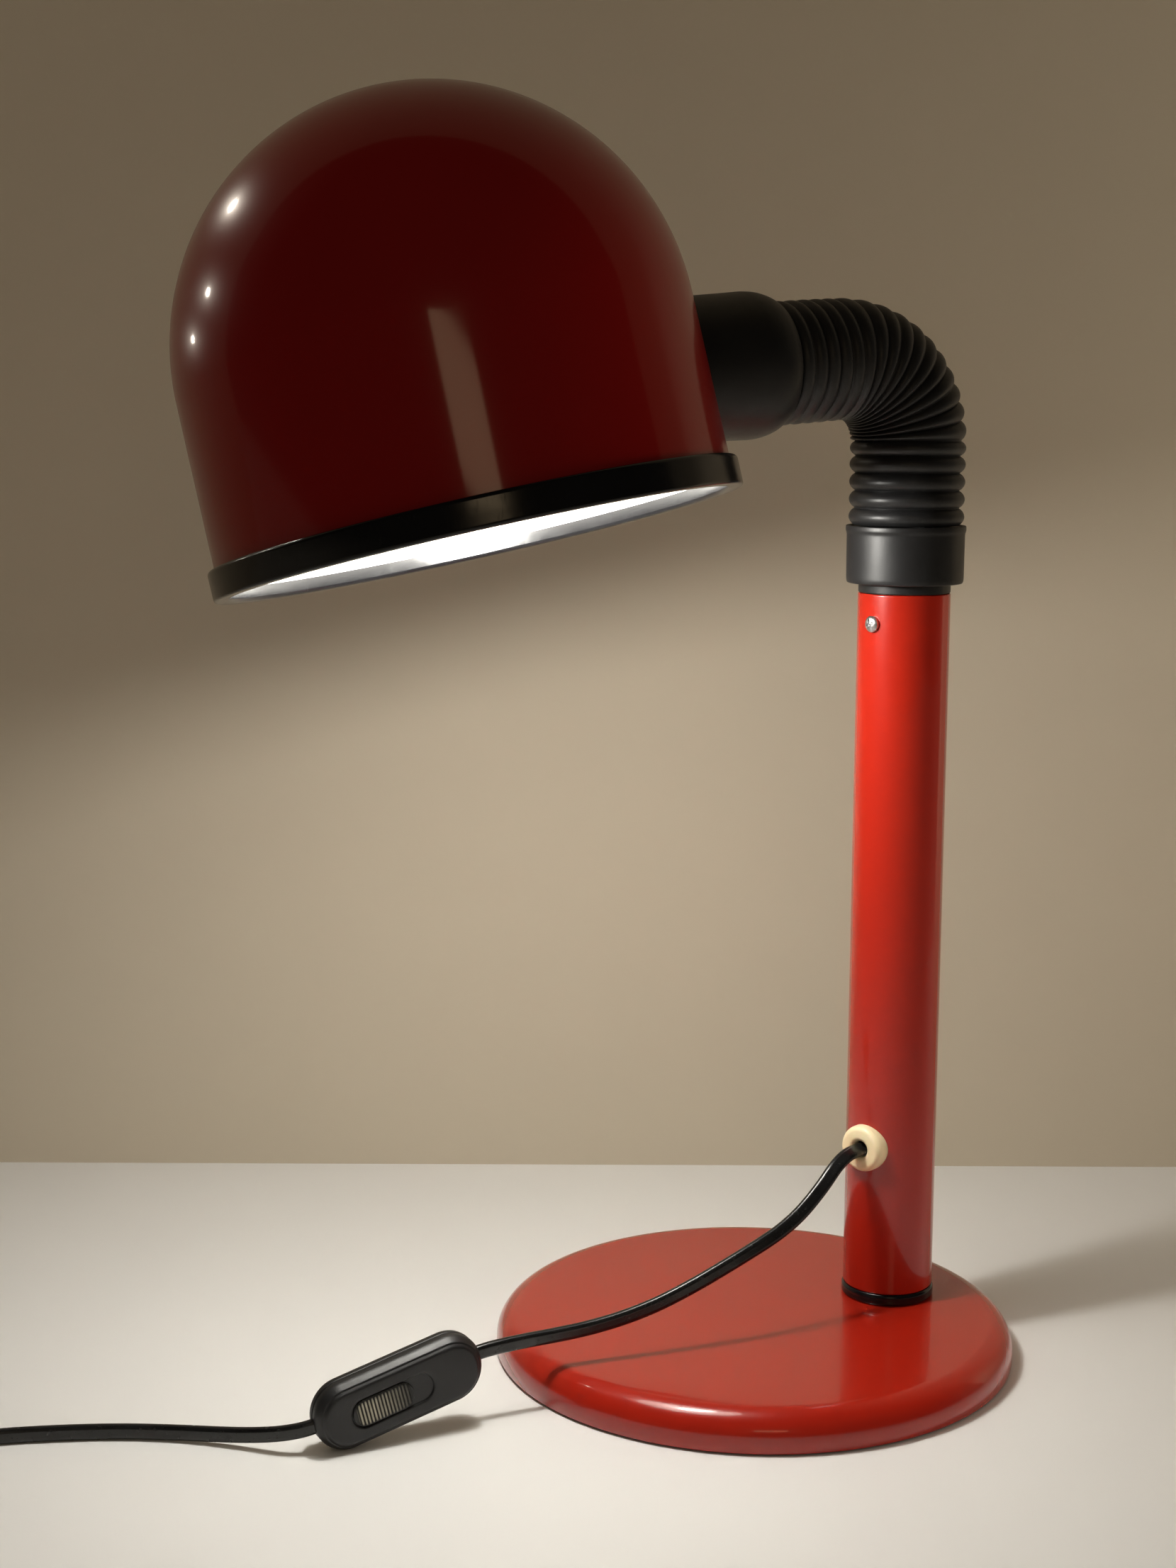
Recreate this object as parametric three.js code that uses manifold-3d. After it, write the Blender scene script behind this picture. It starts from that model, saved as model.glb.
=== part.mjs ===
// Desk lamp with a domed shade on a bending neck, a tube post and a weighted round base.
// Millimetres, +Z up. The origin is the centre of the base's underside, on the table.
// The arm points along -X: the post stands off centre and the shade hangs over the base.

import * as THREE from 'three';
import { mergeVertices } from 'three/addons/utils/BufferGeometryUtils.js';
import Module from 'manifold-3d';

const wasm = await Module();
wasm.setup();

// ---- driving dimensions -------------------------------------------------------------
const GAP = 0.3;                 // clearance between pieces that touch
const deg = THREE.MathUtils.degToRad;

const BASE_R = 114.3;            // base disc
const BASE_H = 17.1;
const BASE_EDGE = 11.3;          // rounding of the upper edge
const BASE_SHEET = 1.5;
const PAD_T = 1.5;
const WEIGHT_R = 105;            // iron disc inside the base
const WEIGHT_H = 9.4;

const POST_X = 65.5;             // post axis, off the centre of the base
const POST_Y = -8.5;
const POST_R = 20;
const POST_WALL = 1.5;
const POST_SIDES = 26;           // facets of the round pieces on the post
const FOOT_H = 5;                // black ring between base and tube
const TUBE_TOP = 335;
const COLLAR_R = 25.4;
const COLLAR_TOP = 364.1;
const COLLAR_H = 25;
const BUSH_Z = 89.6;             // where the cord comes out of the tube
const BUSH_TURN = deg(201.7);
const SCREW_Z = 322.4;
const SCREW_TURN = deg(195.2);

const NECK_R = 24.7;             // outside of the bellows
const CORE_R = 12;
const NECK_STRAIGHT = 35.9;      // straight stretch above the collar
const NECK_BEND_R = 34.17;       // radius of the bend on the centreline
const NECK_BEND = deg(94.12);
const NECK_END = 31.58;          // straight stretch before the cuff
const LEAN_AT = 12;              // arc positions of the sideways hinges
const TURN_AT = NECK_STRAIGHT + NECK_BEND_R * NECK_BEND + 15;
const BEND_STEPS = 4;            // hinges that share the bend

const CUFF_R = 29.5;
const CUFF_SHOULDER = 16;
const WALL_AT = 47;              // cuff shoulder end to the shade's wall
const SHADE_AXIS_AT = 148.58;    // cuff shoulder end to the shade's own axis
const SHADE_R = 101.6;
const SHADE_SKIRT = 76.4;        // height of the straight skirt
const SHADE_SHEET = 1.2;
const SHADE_SIDES = 34;          // facets of the shade and its rim
const SHADE_ROLL = deg(10.775);  // the shade's roll about the cuff's axis
const SHADE_SAG = deg(4.989);    // and how far it droops from square
const HOLDER_H = 62.73;          // cuff axis above the rim
const RIM_R = 104.9;
const RIM_H = 12;

const SWITCH_AT = [-178.3, -18.3, 20.15];
const SWITCH_TILT = deg(14);
const SWITCH_L = 74;
const SWITCH_W = 29;
const SWITCH_T = 15.4;

const CORD_W = 6.4;              // flat two-core cord
const CORD_T = 4;
const COIL_AT = [-366, 95];
const COIL_RADII = [42.5, 36, 29.5];

// ---- materials ----------------------------------------------------------------------
const finish = (color, roughness, metalness = 0) =>
  new THREE.MeshStandardMaterial({ color, roughness, metalness });
const RED = finish(0x9c1a12, 0.22);
const BLACK = finish(0x141414, 0.5);
const BLACK_GLOSS = finish(0x0b0b0b, 0.18);
const WHITE_GLASS = finish(0xfff6e6, 0.4);
const CREAM = finish(0xefe3c0, 0.55);
const STEEL = finish(0xb9babd, 0.35, 1);
const BRASS = finish(0xb8923f, 0.35, 1);
const IRON = finish(0x3c3b3a, 0.8, 0.8);
const FELT = finish(0x24211f, 0.95);
const CERAMIC = finish(0xe8e4da, 0.4);
const CABLE = finish(0x161616, 0.6);

// ---- solids -------------------------------------------------------------------------
// Merged vertices, no zero-area faces, and faces that point out.
function clean(geometry) {
  let g = geometry.clone();
  g.deleteAttribute('normal');
  g.deleteAttribute('uv');
  g = mergeVertices(g, 1e-4);
  const p = g.attributes.position.array;
  const index = [];
  let volume = 0;
  for (let i = 0; i < g.index.count; i += 3) {
    const [a, b, c] = [0, 1, 2].map((k) => g.index.getX(i + k));
    if (a === b || b === c || c === a) continue;
    index.push(a, b, c);
    const at = (v) => new THREE.Vector3(p[3 * v], p[3 * v + 1], p[3 * v + 2]);
    volume += at(a).dot(at(b).cross(at(c)));
  }
  if (volume < 0) index.reverse();
  g.setIndex(index);
  return g;
}

function solid(geometry) {
  const g = clean(geometry);
  return new wasm.Manifold(new wasm.Mesh({
    numProp: 3,
    vertProperties: new Float32Array(g.attributes.position.array),
    triVerts: new Uint32Array(g.index.array),
  }));
}

function geometryOf(manifold) {
  const m = manifold.getMesh();
  const g = new THREE.BufferGeometry();
  g.setAttribute('position', new THREE.BufferAttribute(new Float32Array(m.vertProperties), 3));
  g.setIndex([...m.triVerts]);
  return g;
}

const cut = (body, ...tools) =>
  geometryOf(tools.reduce((a, t) => a.subtract(solid(t)), solid(body)));
const join = (body, ...more) =>
  geometryOf(more.reduce((a, t) => a.add(solid(t)), solid(body)));

// A profile of [radius, height] turned about Z. A closed profile repeats its first point.
function turned(profile, segments = 32) {
  const points = profile.map(([r, z]) => new THREE.Vector2(r, z));
  return new THREE.LatheGeometry(points, segments).rotateX(Math.PI / 2);
}
const ring = (r0, r1, z0, z1, segments = 32) =>
  turned([[r0, z0], [r1, z0], [r1, z1], [r0, z1], [r0, z0]], segments);
const disc = (r, z0, z1, segments = 32) =>
  turned([[0, z0], [r, z0], [r, z1], [0, z1]], segments);
const hex = (r, z0, z1) => disc(r, z0, z1, 6);

// Points of a quarter-like arc in a profile, from angle a to angle b about (cr, cz).
function arc(cr, cz, r, a, b, steps) {
  return Array.from({ length: steps + 1 }, (_, i) => {
    const t = a + (b - a) * (i / steps);
    return [cr + r * Math.cos(t), cz + r * Math.sin(t)];
  });
}

// A rounded bar outline, length along X and width along Y.
function stadium(length, width) {
  const s = new THREE.Shape();
  const h = (length - width) / 2;
  s.absarc(h, 0, width / 2, -Math.PI / 2, Math.PI / 2, false);
  s.absarc(-h, 0, width / 2, Math.PI / 2, 1.5 * Math.PI, false);
  s.closePath();
  return s;
}
function slab(shape, z0, z1, bevel = 0) {
  const g = new THREE.ExtrudeGeometry(shape, {
    depth: z1 - z0 - (bevel ? 2 * bevel : 0), curveSegments: 6, bevelEnabled: bevel > 0,
    bevelSize: bevel, bevelThickness: bevel, bevelOffset: -bevel, bevelSegments: 1,
  });
  return g.translate(0, 0, z0 + bevel);
}

// A flat cord's tube along a list of points.
function cordTube(points, steps) {
  const s = new THREE.Shape();
  const sides = 8;
  for (let i = 0; i < sides; i += 1) {
    const t = (2 * Math.PI * (i + 0.5)) / sides;
    const [x, y] = [0.5 * CORD_T * Math.cos(t), 0.5 * CORD_W * Math.sin(t)];
    if (i === 0) s.moveTo(x, y); else s.lineTo(x, y);
  }
  s.closePath();
  const path = new THREE.CatmullRomCurve3(points.map((p) => new THREE.Vector3(...p)));
  return new THREE.ExtrudeGeometry(s, { steps, extrudePath: path, curveSegments: 1 });
}

// ---- scene graph --------------------------------------------------------------------
const lamp = new THREE.Group();
function group(parent, position = [0, 0, 0], rotation = [0, 0, 0]) {
  const g = new THREE.Group();
  g.position.set(...position);
  g.rotation.set(...rotation);
  parent.add(g);
  return g;
}
function add(parent, name, geometry, material) {
  const mesh = new THREE.Mesh(clean(geometry), material);
  mesh.name = name;
  parent.add(mesh);
}

// ---- base ---------------------------------------------------------------------------
const post = group(lamp, [POST_X, POST_Y, 0]);
const boltHole = disc(5.2, -1, 60, 16).translate(POST_X, POST_Y, 0);
const coverFoot = PAD_T + GAP;
const edgeZ = BASE_H - BASE_EDGE;
add(lamp, 'base_cover', cut(turned([
  [0, BASE_H],
  ...arc(BASE_R - BASE_EDGE, edgeZ, BASE_EDGE, Math.PI / 2, 0, 5),
  [BASE_R, coverFoot],
  [BASE_R - BASE_SHEET, coverFoot],
  ...arc(BASE_R - BASE_EDGE, edgeZ, BASE_EDGE - BASE_SHEET, 0, Math.PI / 2, 3),
  [0, BASE_H - BASE_SHEET],
], 36), boltHole), RED);

const weightTop = coverFoot + WEIGHT_H;
const boltPocket = disc(11.5, -1, 9.5, 20).translate(POST_X, POST_Y, 0);
add(lamp, 'base_weight', cut(turned([
  [0, coverFoot], [WEIGHT_R, coverFoot], [WEIGHT_R, weightTop - 2],
  [WEIGHT_R - 2, weightTop], [0, weightTop],
], 28), boltHole, boltPocket), IRON);
add(lamp, 'base_pad', disc(112, 0, PAD_T, 36), FELT);

// ---- post ---------------------------------------------------------------------------
const footZ = BASE_H + GAP;
const tubeZ = BASE_H + FOOT_H;
add(post, 'post_foot_ring', turned([
  [5.2, footZ], [POST_R + 0.2, footZ], [POST_R + 0.5, footZ + 0.8],
  [POST_R + 0.5, tubeZ - 1.0], [POST_R + 0.1, tubeZ - GAP], [18.2, tubeZ - GAP],
  [18.2, tubeZ + 8], [5.2, tubeZ + 8], [5.2, footZ],
], POST_SIDES), BLACK_GLOSS);

const plateZ = tubeZ + 8 + GAP;
add(post, 'post_foot_plate', ring(4.3, 18.2, plateZ, plateZ + 4, 24), STEEL);
add(post, 'base_bolt', join(
  disc(4, 7, plateZ + 14, 16),
  hex(7.5, 3, 7.5),
), STEEL);
add(post, 'base_bolt_washer', ring(4.3, 10.5, 7.5 + GAP, 9.2, 20), STEEL);
add(post, 'base_bolt_nut', cut(
  hex(7.5, plateZ + 4 + GAP, plateZ + 11),
  disc(4 + GAP, 0, 80, 16),
), STEEL);

const along = (geometry, turn, z) =>
  geometry.rotateY(Math.PI / 2).rotateZ(turn).translate(0, 0, z);
const bushHole = along(disc(6.9, 5, 40, 20), BUSH_TURN, BUSH_Z);
const screwHole = along(disc(2.2, 5, 40, 12), SCREW_TURN, SCREW_Z);
add(post, 'post_tube', cut(
  ring(POST_R - POST_WALL, POST_R, tubeZ, TUBE_TOP, POST_SIDES), bushHole, screwHole,
), RED);

// The bush is a thick washer outside the tube with a neck through its wall. The tube's
// curve is cut from its back.
add(post, 'cord_bush', cut(
  along(turned([
    [3.9, 13], [6.5, 13], [6.5, 19], [10.4, 19], [10.4, 22.6], [9, 24], [5.2, 24],
    [3.9, 22.8], [3.9, 13],
  ], 16), BUSH_TURN, BUSH_Z),
  cut(ring(POST_R - 1, POST_R + GAP, BUSH_Z - 14, BUSH_Z + 14, 24),
    along(disc(6.5, 5, 40, 16), BUSH_TURN, BUSH_Z)),
), CREAM);

// ---- collar and the plug that joins it to the tube ----------------------------------
const collarZ = COLLAR_TOP - COLLAR_H;
const plugScrew = along(disc(2.0, 5, 40, 12), SCREW_TURN, SCREW_Z);
add(post, 'neck_plug', cut(turned([
  [9, 296], [18.2, 296], [18.2, TUBE_TOP + GAP], [POST_R - 0.2, TUBE_TOP + GAP],
  [POST_R - 0.2, COLLAR_TOP - 6], [9, COLLAR_TOP - 6], [9, 296],
], POST_SIDES), plugScrew), BLACK);
add(post, 'neck_collar', turned([
  [POST_R + 0.1, collarZ + 0.6], [COLLAR_R - 1.6, collarZ], [COLLAR_R, collarZ + 0.8],
  [COLLAR_R + 0.2, COLLAR_TOP - 1.2], [COLLAR_R - 1.0, COLLAR_TOP], [9, COLLAR_TOP],
  [9, COLLAR_TOP - 6 + GAP], [POST_R + 0.1, COLLAR_TOP - 6 + GAP],
  [POST_R + 0.1, collarZ + 0.6],
], POST_SIDES), BLACK);
add(post, 'post_screw', join(
  along(disc(1.7, 11, POST_R + 0.8, 12), SCREW_TURN, SCREW_Z),
  along(turned([
    [0, POST_R + GAP], [3.5, POST_R + GAP], [3.4, POST_R + 1.3], [2.2, POST_R + 2.3],
    [0, POST_R + 2.5],
  ], 16), SCREW_TURN, SCREW_Z),
), STEEL);

// ---- neck ---------------------------------------------------------------------------
// Point and angle from vertical of the neck's centreline at arc position s.
const bendLength = NECK_BEND_R * NECK_BEND;
const neckLength = NECK_STRAIGHT + bendLength + NECK_END;
function neckAt(s) {
  const b = THREE.MathUtils.clamp((s - NECK_STRAIGHT) / NECK_BEND_R, 0, NECK_BEND);
  const before = Math.min(s, NECK_STRAIGHT);
  const after = Math.max(0, s - NECK_STRAIGHT - bendLength);
  return {
    at: [
      POST_X - NECK_BEND_R * (1 - Math.cos(b)) - after * Math.sin(b),
      POST_Y,
      COLLAR_TOP + before + NECK_BEND_R * Math.sin(b) + after * Math.cos(b),
    ],
    angle: b,
  };
}
// Each link is a disc or drum as wide as the bellows on a thinner core. Between links the
// neck bends, so the drums stop short of the hinges and the cores keep clear of each other.
function link(name, s, profile) {
  const { at, angle } = neckAt(s);
  const g = group(lamp, at, [0, -angle, 0]);
  add(g, name, turned(profile, 20), BLACK);
}
const drum = (z0, z1) => [[NECK_R, z0], [NECK_R, z1]];
const core = (z0, z1, middle) =>
  [[0, z0], [CORE_R, z0], ...middle, [CORE_R, z1], [0, z1]];
const step = bendLength / BEND_STEPS;
const coreClear = 2.9;
const sideClear = 3.5;
const firstBend = NECK_STRAIGHT + step / 2;

link('neck_link_0', 0, [
  [0, GAP], [NECK_R - 1.2, GAP], ...drum(1.6, LEAN_AT - sideClear), [0, LEAN_AT - sideClear],
]);
link('neck_link_1', LEAN_AT, [
  [0, sideClear], ...drum(sideClear, NECK_STRAIGHT - LEAN_AT + 1),
  [CORE_R, NECK_STRAIGHT - LEAN_AT + 1], [CORE_R, firstBend - LEAN_AT - coreClear],
  [0, firstBend - LEAN_AT - coreClear],
]);
for (let i = 1; i < BEND_STEPS; i += 1) {
  const half = step / 2 - coreClear;
  link(`neck_link_${i + 1}`, NECK_STRAIGHT + i * step, core(-half, half, drum(-1.3, 1.3)));
}
const lastBend = NECK_STRAIGHT + bendLength - step / 2;
const bendEnd = NECK_STRAIGHT + bendLength;
link('neck_link_5', bendEnd, [
  [0, lastBend - bendEnd + coreClear], [CORE_R, lastBend - bendEnd + coreClear],
  [CORE_R, -1], ...drum(-1, TURN_AT - bendEnd - sideClear), [0, TURN_AT - bendEnd - sideClear],
]);
link('neck_link_6', TURN_AT, [
  [0, sideClear], ...drum(sideClear, neckLength - TURN_AT - GAP),
  [0, neckLength - TURN_AT - GAP],
]);

// ---- head: Z runs along the cuff from the neck's end into the shade -------------------
const end = neckAt(neckLength);
const head = group(lamp, end.at, [0, -end.angle, 0]);

// The shade's own frame inside the head: rolled about the cuff, turned upright, its rim at
// z = 0.
const upright = Math.PI / 2 - SHADE_SAG;
const shadeRoll = group(head, [0, 0, SHADE_AXIS_AT], [0, 0, SHADE_ROLL]);
const shadeTilt = group(shadeRoll, [0, 0, 0], [0, upright, 0]);
const shade = group(shadeTilt, [0, 0, -HOLDER_H]);
const toHead = (geometry) => geometry.translate(0, 0, -HOLDER_H)
  .rotateY(upright).rotateZ(SHADE_ROLL).translate(0, 0, SHADE_AXIS_AT);
const toShade = (geometry) => geometry.translate(0, 0, -SHADE_AXIS_AT)
  .rotateZ(-SHADE_ROLL).rotateY(-upright).translate(0, 0, HOLDER_H);

const holderHole = toShade(disc(20.8, 20, 90, 28));
const skirtFoot = 2.2;
const outerSkin = (grow) => [
  [0, SHADE_SKIRT + SHADE_R + grow],
  ...arc(0, SHADE_SKIRT, SHADE_R + grow, Math.PI / 2, 0, 8).slice(1),
  [SHADE_R + grow + 0.4, skirtFoot],
];
add(shade, 'shade', cut(turned([
  ...outerSkin(0),
  [SHADE_R + 0.4 - SHADE_SHEET, skirtFoot],
  ...arc(0, SHADE_SKIRT, SHADE_R - SHADE_SHEET, 0, Math.PI / 2, 8).slice(0, -1),
  [0, SHADE_SKIRT + SHADE_R - SHADE_SHEET],
], SHADE_SIDES), holderHole), RED);
add(shade, 'rim_ring', turned([
  [98.6, 0.9], [99.6, 0], [RIM_R - 2.2, 0], [RIM_R, 2.2], [RIM_R, RIM_H - 1.6],
  [RIM_R - 1.4, RIM_H], [102.6, RIM_H], [102.6, 1.8], [100.1, 1.8], [100.1, 6],
  [98.6, 6], [98.6, 0.9],
], SHADE_SIDES), BLACK_GLOSS);

// The cuff is a hollow cap. Its open end follows the shade's wall.
const shadeBody = toHead(turned([...outerSkin(GAP), [0, skirtFoot]], SHADE_SIDES));
add(head, 'cuff', cut(turned([
  [7, GAP], [NECK_R + 0.2, GAP], [26.6, 4.5], [28.6, 10], [CUFF_R, CUFF_SHOULDER],
  [CUFF_R, 60], [27.3, 60], [27.3, CUFF_SHOULDER + 1], [26.2, 11], [22.5, 3.6],
  [7, 3.6], [7, GAP],
], 24), shadeBody), BLACK);

// ---- lampholder and bulb, on the cuff's axis -----------------------------------------
add(head, 'holder_cap', turned([
  [4, 14], [14, 14], [20.3, 20], [20.3, 36], [18.6, 36], [18.6, 21], [13, 16], [4, 16],
  [4, 14],
], 20), BLACK);
add(head, 'holder_insert', ring(3, 13.8, 36.6, 44, 16), CERAMIC);
add(head, 'holder_skirt', turned([
  [14.6, 36.6], [20.3, 36.6], [20.3, 72], [18.2, 80], [16.2, 80], [16.2, 45], [14.6, 45],
  [14.6, 36.6],
], 20), BLACK);
add(head, 'holder_nut', ring(20.7, 28, 53.2, 60, 20), BLACK);
add(head, 'holder_contact', disc(2.4, 38, 46.4, 10), BRASS);
add(head, 'bulb_cap', turned([
  [0, 47], [5, 47], [8, 50.4], [13, 51.2], [13.4, 73], [12, 75.2], [0, 75.2],
], 20), STEEL);
const BULB_R = 30;
const bulbZ = 128;
add(head, 'bulb_glass', turned([
  [0, 75.6], [13, 75.6], [15, 84], [22, 97],
  ...arc(0, bulbZ, BULB_R, deg(-38), deg(90), 6).slice(0, -1),
  [0, bulbZ + BULB_R],
], 20), WHITE_GLASS);

// ---- leads inside the post and the cuff ----------------------------------------------
const bushDir = [Math.cos(BUSH_TURN), Math.sin(BUSH_TURN)];
const inPost = (r, z) => [r * bushDir[0], r * bushDir[1], z];
add(post, 'inner_lead', cordTube([
  inPost(12.4, BUSH_Z), inPost(7, BUSH_Z + 2), inPost(1, BUSH_Z + 12), inPost(0, BUSH_Z + 40),
  inPost(0, 180), inPost(0, 260), inPost(0, 352),
], 16), CABLE);
add(head, 'head_lead', disc(2.2, 4.5, 35.8, 8), CABLE);

// ---- inline switch: length along X, width along Y, face towards +Z --------------------
const inline = group(group(lamp, SWITCH_AT, [0, -SWITCH_TILT, 0]), [0, 0, 0],
  [Math.PI / 2, 0, 0]);
const halfT = SWITCH_T / 2;
const slotX = -4.5;
const SLOT_L = 37;
const SLOT_W = 13.4;
const KNOB_L = 28;
const KNOB_W = 12.2;
const knobX = slotX - (SLOT_L - KNOB_L) / 2 + 0.5;
const cordEntry = (side) => slab(stadium(14, CORD_W + 0.6), -2.3, 2.3)
  .translate(side * (SWITCH_L / 2 + 3), 0, 0);
const screwSeat = (side) => disc(3.2, -halfT - 1, -halfT + 2.6, 16)
  .translate(side * 27, 0, 0);
add(inline, 'switch_front', cut(
  slab(stadium(SWITCH_L, SWITCH_W), 0.15, halfT, 3.2),
  slab(stadium(SWITCH_L, SWITCH_W), -1, 0.15),
  slab(stadium(SLOT_L, SLOT_W), halfT - 4, halfT + 2).translate(slotX, 0, 0),
  cordEntry(-1), cordEntry(1),
), BLACK);
add(inline, 'switch_back', cut(
  slab(stadium(SWITCH_L, SWITCH_W), -halfT, -0.15, 3.2),
  cordEntry(-1), cordEntry(1), screwSeat(-1), screwSeat(1),
), BLACK);
add(inline, 'switch_slider', slab(stadium(KNOB_L, KNOB_W), halfT - 3.7, halfT + 0.7, 0.5)
  .translate(knobX, 0, 0), BLACK);
for (const [name, side] of [['switch_screw_a', -1], ['switch_screw_b', 1]]) {
  add(inline, name, disc(2.8, -halfT + 0.4, -halfT + 2.3, 14).translate(side * 27, 0, 0), STEEL);
}

// ---- mains cord: from the bush to the switch, on to a coil, and to the plug -----------
const leadRoute = [
  [42.0, -17.9, 89.6], [35.0, -20.5, 89.2], [28.2, -22.5, 86.0], [19.4, -24.7, 78.2],
  [7.4, -26.8, 68.8], [-4.0, -28.1, 62.4], [-18.4, -28.7, 56.4], [-32.0, -28.4, 50.8],
  [-45.5, -27.5, 45.2], [-61.7, -25.9, 39.2], [-77.5, -24.0, 35.0], [-93.2, -22.0, 32.4],
  [-108.9, -20.2, 31.2], [-124.6, -18.9, 30.6], [-141.9, -18.3, 29.3],
];
const tailRoute = [
  [-215.2, -18.1, 10.9], [-224.7, -13.4, 8.5], [-235.6, -3.4, 5.8], [-247.7, 7.2, 4.3],
  [-259.8, 16.4, 3.6], [-278.4, 27.3, 3.4], [-301.4, 37.1, 3.4], [-324.7, 44.8, 3.4],
  [-343.0, 48.4, 3.4],
];
const endRoute = [
  [-413.0, 116.0, 7.4], [-411.5, 128.0, 5.6], [-405.0, 140.0, 5.4], [-396.3, 149.1, 6.8],
];
add(lamp, 'cord_lead', cordTube(leadRoute, 26), CABLE);
add(lamp, 'cord_tail', cordTube(tailRoute, 16), CABLE);
add(lamp, 'cord_end', cordTube(endRoute, 6), CABLE);
const coilIn = Math.min(...COIL_RADII) - CORD_W / 2;
const coilOut = Math.max(...COIL_RADII) + CORD_W / 2;
add(lamp, 'cord_coil', ring(coilIn, coilOut, 0.2, 2 * CORD_W + 0.4, 28)
  .translate(COIL_AT[0], COIL_AT[1], 0), CABLE);

// Two-pin flat plug lying beside the coil, pins pointing away from the cord.
const plug = group(lamp, [-396, 149.4, 7.1], [0, 0, deg(45)]);
const plugOutline = new THREE.Shape();
plugOutline.moveTo(0.3, -4.5);
plugOutline.lineTo(9, -6.5);
plugOutline.quadraticCurveTo(17, -8.5, 22, -15);
plugOutline.quadraticCurveTo(24, -17.6, 28, -17.6);
plugOutline.lineTo(36, -17.6);
plugOutline.lineTo(36, 17.6);
plugOutline.lineTo(28, 17.6);
plugOutline.quadraticCurveTo(24, 17.6, 22, 15);
plugOutline.quadraticCurveTo(17, 8.5, 9, 6.5);
plugOutline.lineTo(0.3, 4.5);
plugOutline.closePath();
add(plug, 'plug_body', new THREE.ExtrudeGeometry(plugOutline, {
  depth: 9.6, curveSegments: 4, bevelEnabled: true, bevelSize: 1.6, bevelThickness: 2,
  bevelOffset: -1.6, bevelSegments: 1,
}).translate(0, 0, -4.8), BLACK);
for (const [name, y] of [['plug_pin_a', -9.5], ['plug_pin_b', 9.5]]) {
  add(plug, name, disc(2, 0, 19, 12).rotateY(Math.PI / 2).translate(36 + GAP, y, 0), BRASS);
}

export default lamp;
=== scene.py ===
# %% [markdown]
# # A desk lamp on a bending neck
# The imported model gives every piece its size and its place, in metres, with the origin under the
# middle of the base. This lesson dresses it: each surface is a formula evaluated on a grid, and
# each finish is a small node tree. The frame has to be loaded first, because pieces ride on it.
# %% Load the frame
import math

import bmesh
import bpy
import numpy as np
from mathutils import Matrix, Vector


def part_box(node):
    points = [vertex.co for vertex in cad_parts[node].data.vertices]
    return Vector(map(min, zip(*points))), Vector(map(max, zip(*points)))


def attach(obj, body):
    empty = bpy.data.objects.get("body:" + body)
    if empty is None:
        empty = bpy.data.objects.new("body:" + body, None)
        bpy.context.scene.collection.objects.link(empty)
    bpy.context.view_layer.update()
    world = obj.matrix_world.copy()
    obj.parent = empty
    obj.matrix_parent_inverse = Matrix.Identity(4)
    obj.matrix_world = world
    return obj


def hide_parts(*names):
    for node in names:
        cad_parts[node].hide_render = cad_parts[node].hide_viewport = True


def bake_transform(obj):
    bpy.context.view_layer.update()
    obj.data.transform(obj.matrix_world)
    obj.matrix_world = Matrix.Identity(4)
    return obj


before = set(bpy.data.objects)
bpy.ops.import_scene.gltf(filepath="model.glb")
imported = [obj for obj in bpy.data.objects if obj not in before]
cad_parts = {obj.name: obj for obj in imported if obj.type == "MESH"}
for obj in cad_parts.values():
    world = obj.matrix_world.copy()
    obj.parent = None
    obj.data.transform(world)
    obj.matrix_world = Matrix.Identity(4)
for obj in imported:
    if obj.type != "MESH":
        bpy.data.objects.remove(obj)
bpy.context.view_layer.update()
MM = 0.001

# %% [markdown]
# ## The camera
# The camera stands a little above the lamp's middle and looks slightly down, so the base is seen
# as an open ellipse. A camera looks along its own -Z, so its matrix is built from three vectors.
# %% Camera
def camera_matrix(position, forward, up):
    """Columns are right, up, -forward and the position; right = forward x up."""
    f = np.array(forward) / np.linalg.norm(forward)
    r = np.cross(f, up)
    r /= np.linalg.norm(r)
    m = np.eye(4)
    m[:3, 0], m[:3, 1], m[:3, 2], m[:3, 3] = r, np.cross(r, f), -f, position
    return Matrix(m.tolist())


scene = bpy.context.scene
camera = bpy.data.objects.new("camera", bpy.data.cameras.new("camera"))
camera.data.lens = 53.7
camera.data.sensor_width = 36
camera.data.clip_start = 0.01
camera.matrix_world = camera_matrix(
    (-0.5117, -0.8558, 0.4124), (0.44193, 0.88309, -0.15764), (0.06696, 0.14277, 0.98749))
scene.collection.objects.link(camera)
scene.camera = camera
print("camera lens", camera.data.lens)

# %% [markdown]
# ## Surfaces from grids
# Almost every piece of this lamp is turned on a lathe or drawn along a line. Both are a grid of
# points: rows follow the outline and columns go round. One function makes the mesh from such a
# grid, closes it, merges the poles and turns the faces outwards.
# %% Grid to mesh
def surface(name, grid, closed_rows=False, closed_columns=True, sharp=38):
    """A mesh over a (rows, columns, 3) grid in metres, one quad for each cell of the grid."""
    grid = np.asarray(grid, float)
    rows, columns = grid.shape[:2]
    i = np.arange(rows if closed_rows else rows - 1)[:, None]
    j = np.arange(columns if closed_columns else columns - 1)[None, :]
    i2, j2 = (i + 1) % rows, (j + 1) % columns
    quads = np.stack([i * columns + j, i * columns + j2, i2 * columns + j2, i2 * columns + j], -1)
    mesh = bpy.data.meshes.new(name)
    mesh.from_pydata(grid.reshape(-1, 3).tolist(), [], quads.reshape(-1, 4).tolist())
    return finished(name, mesh, sharp)


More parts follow.
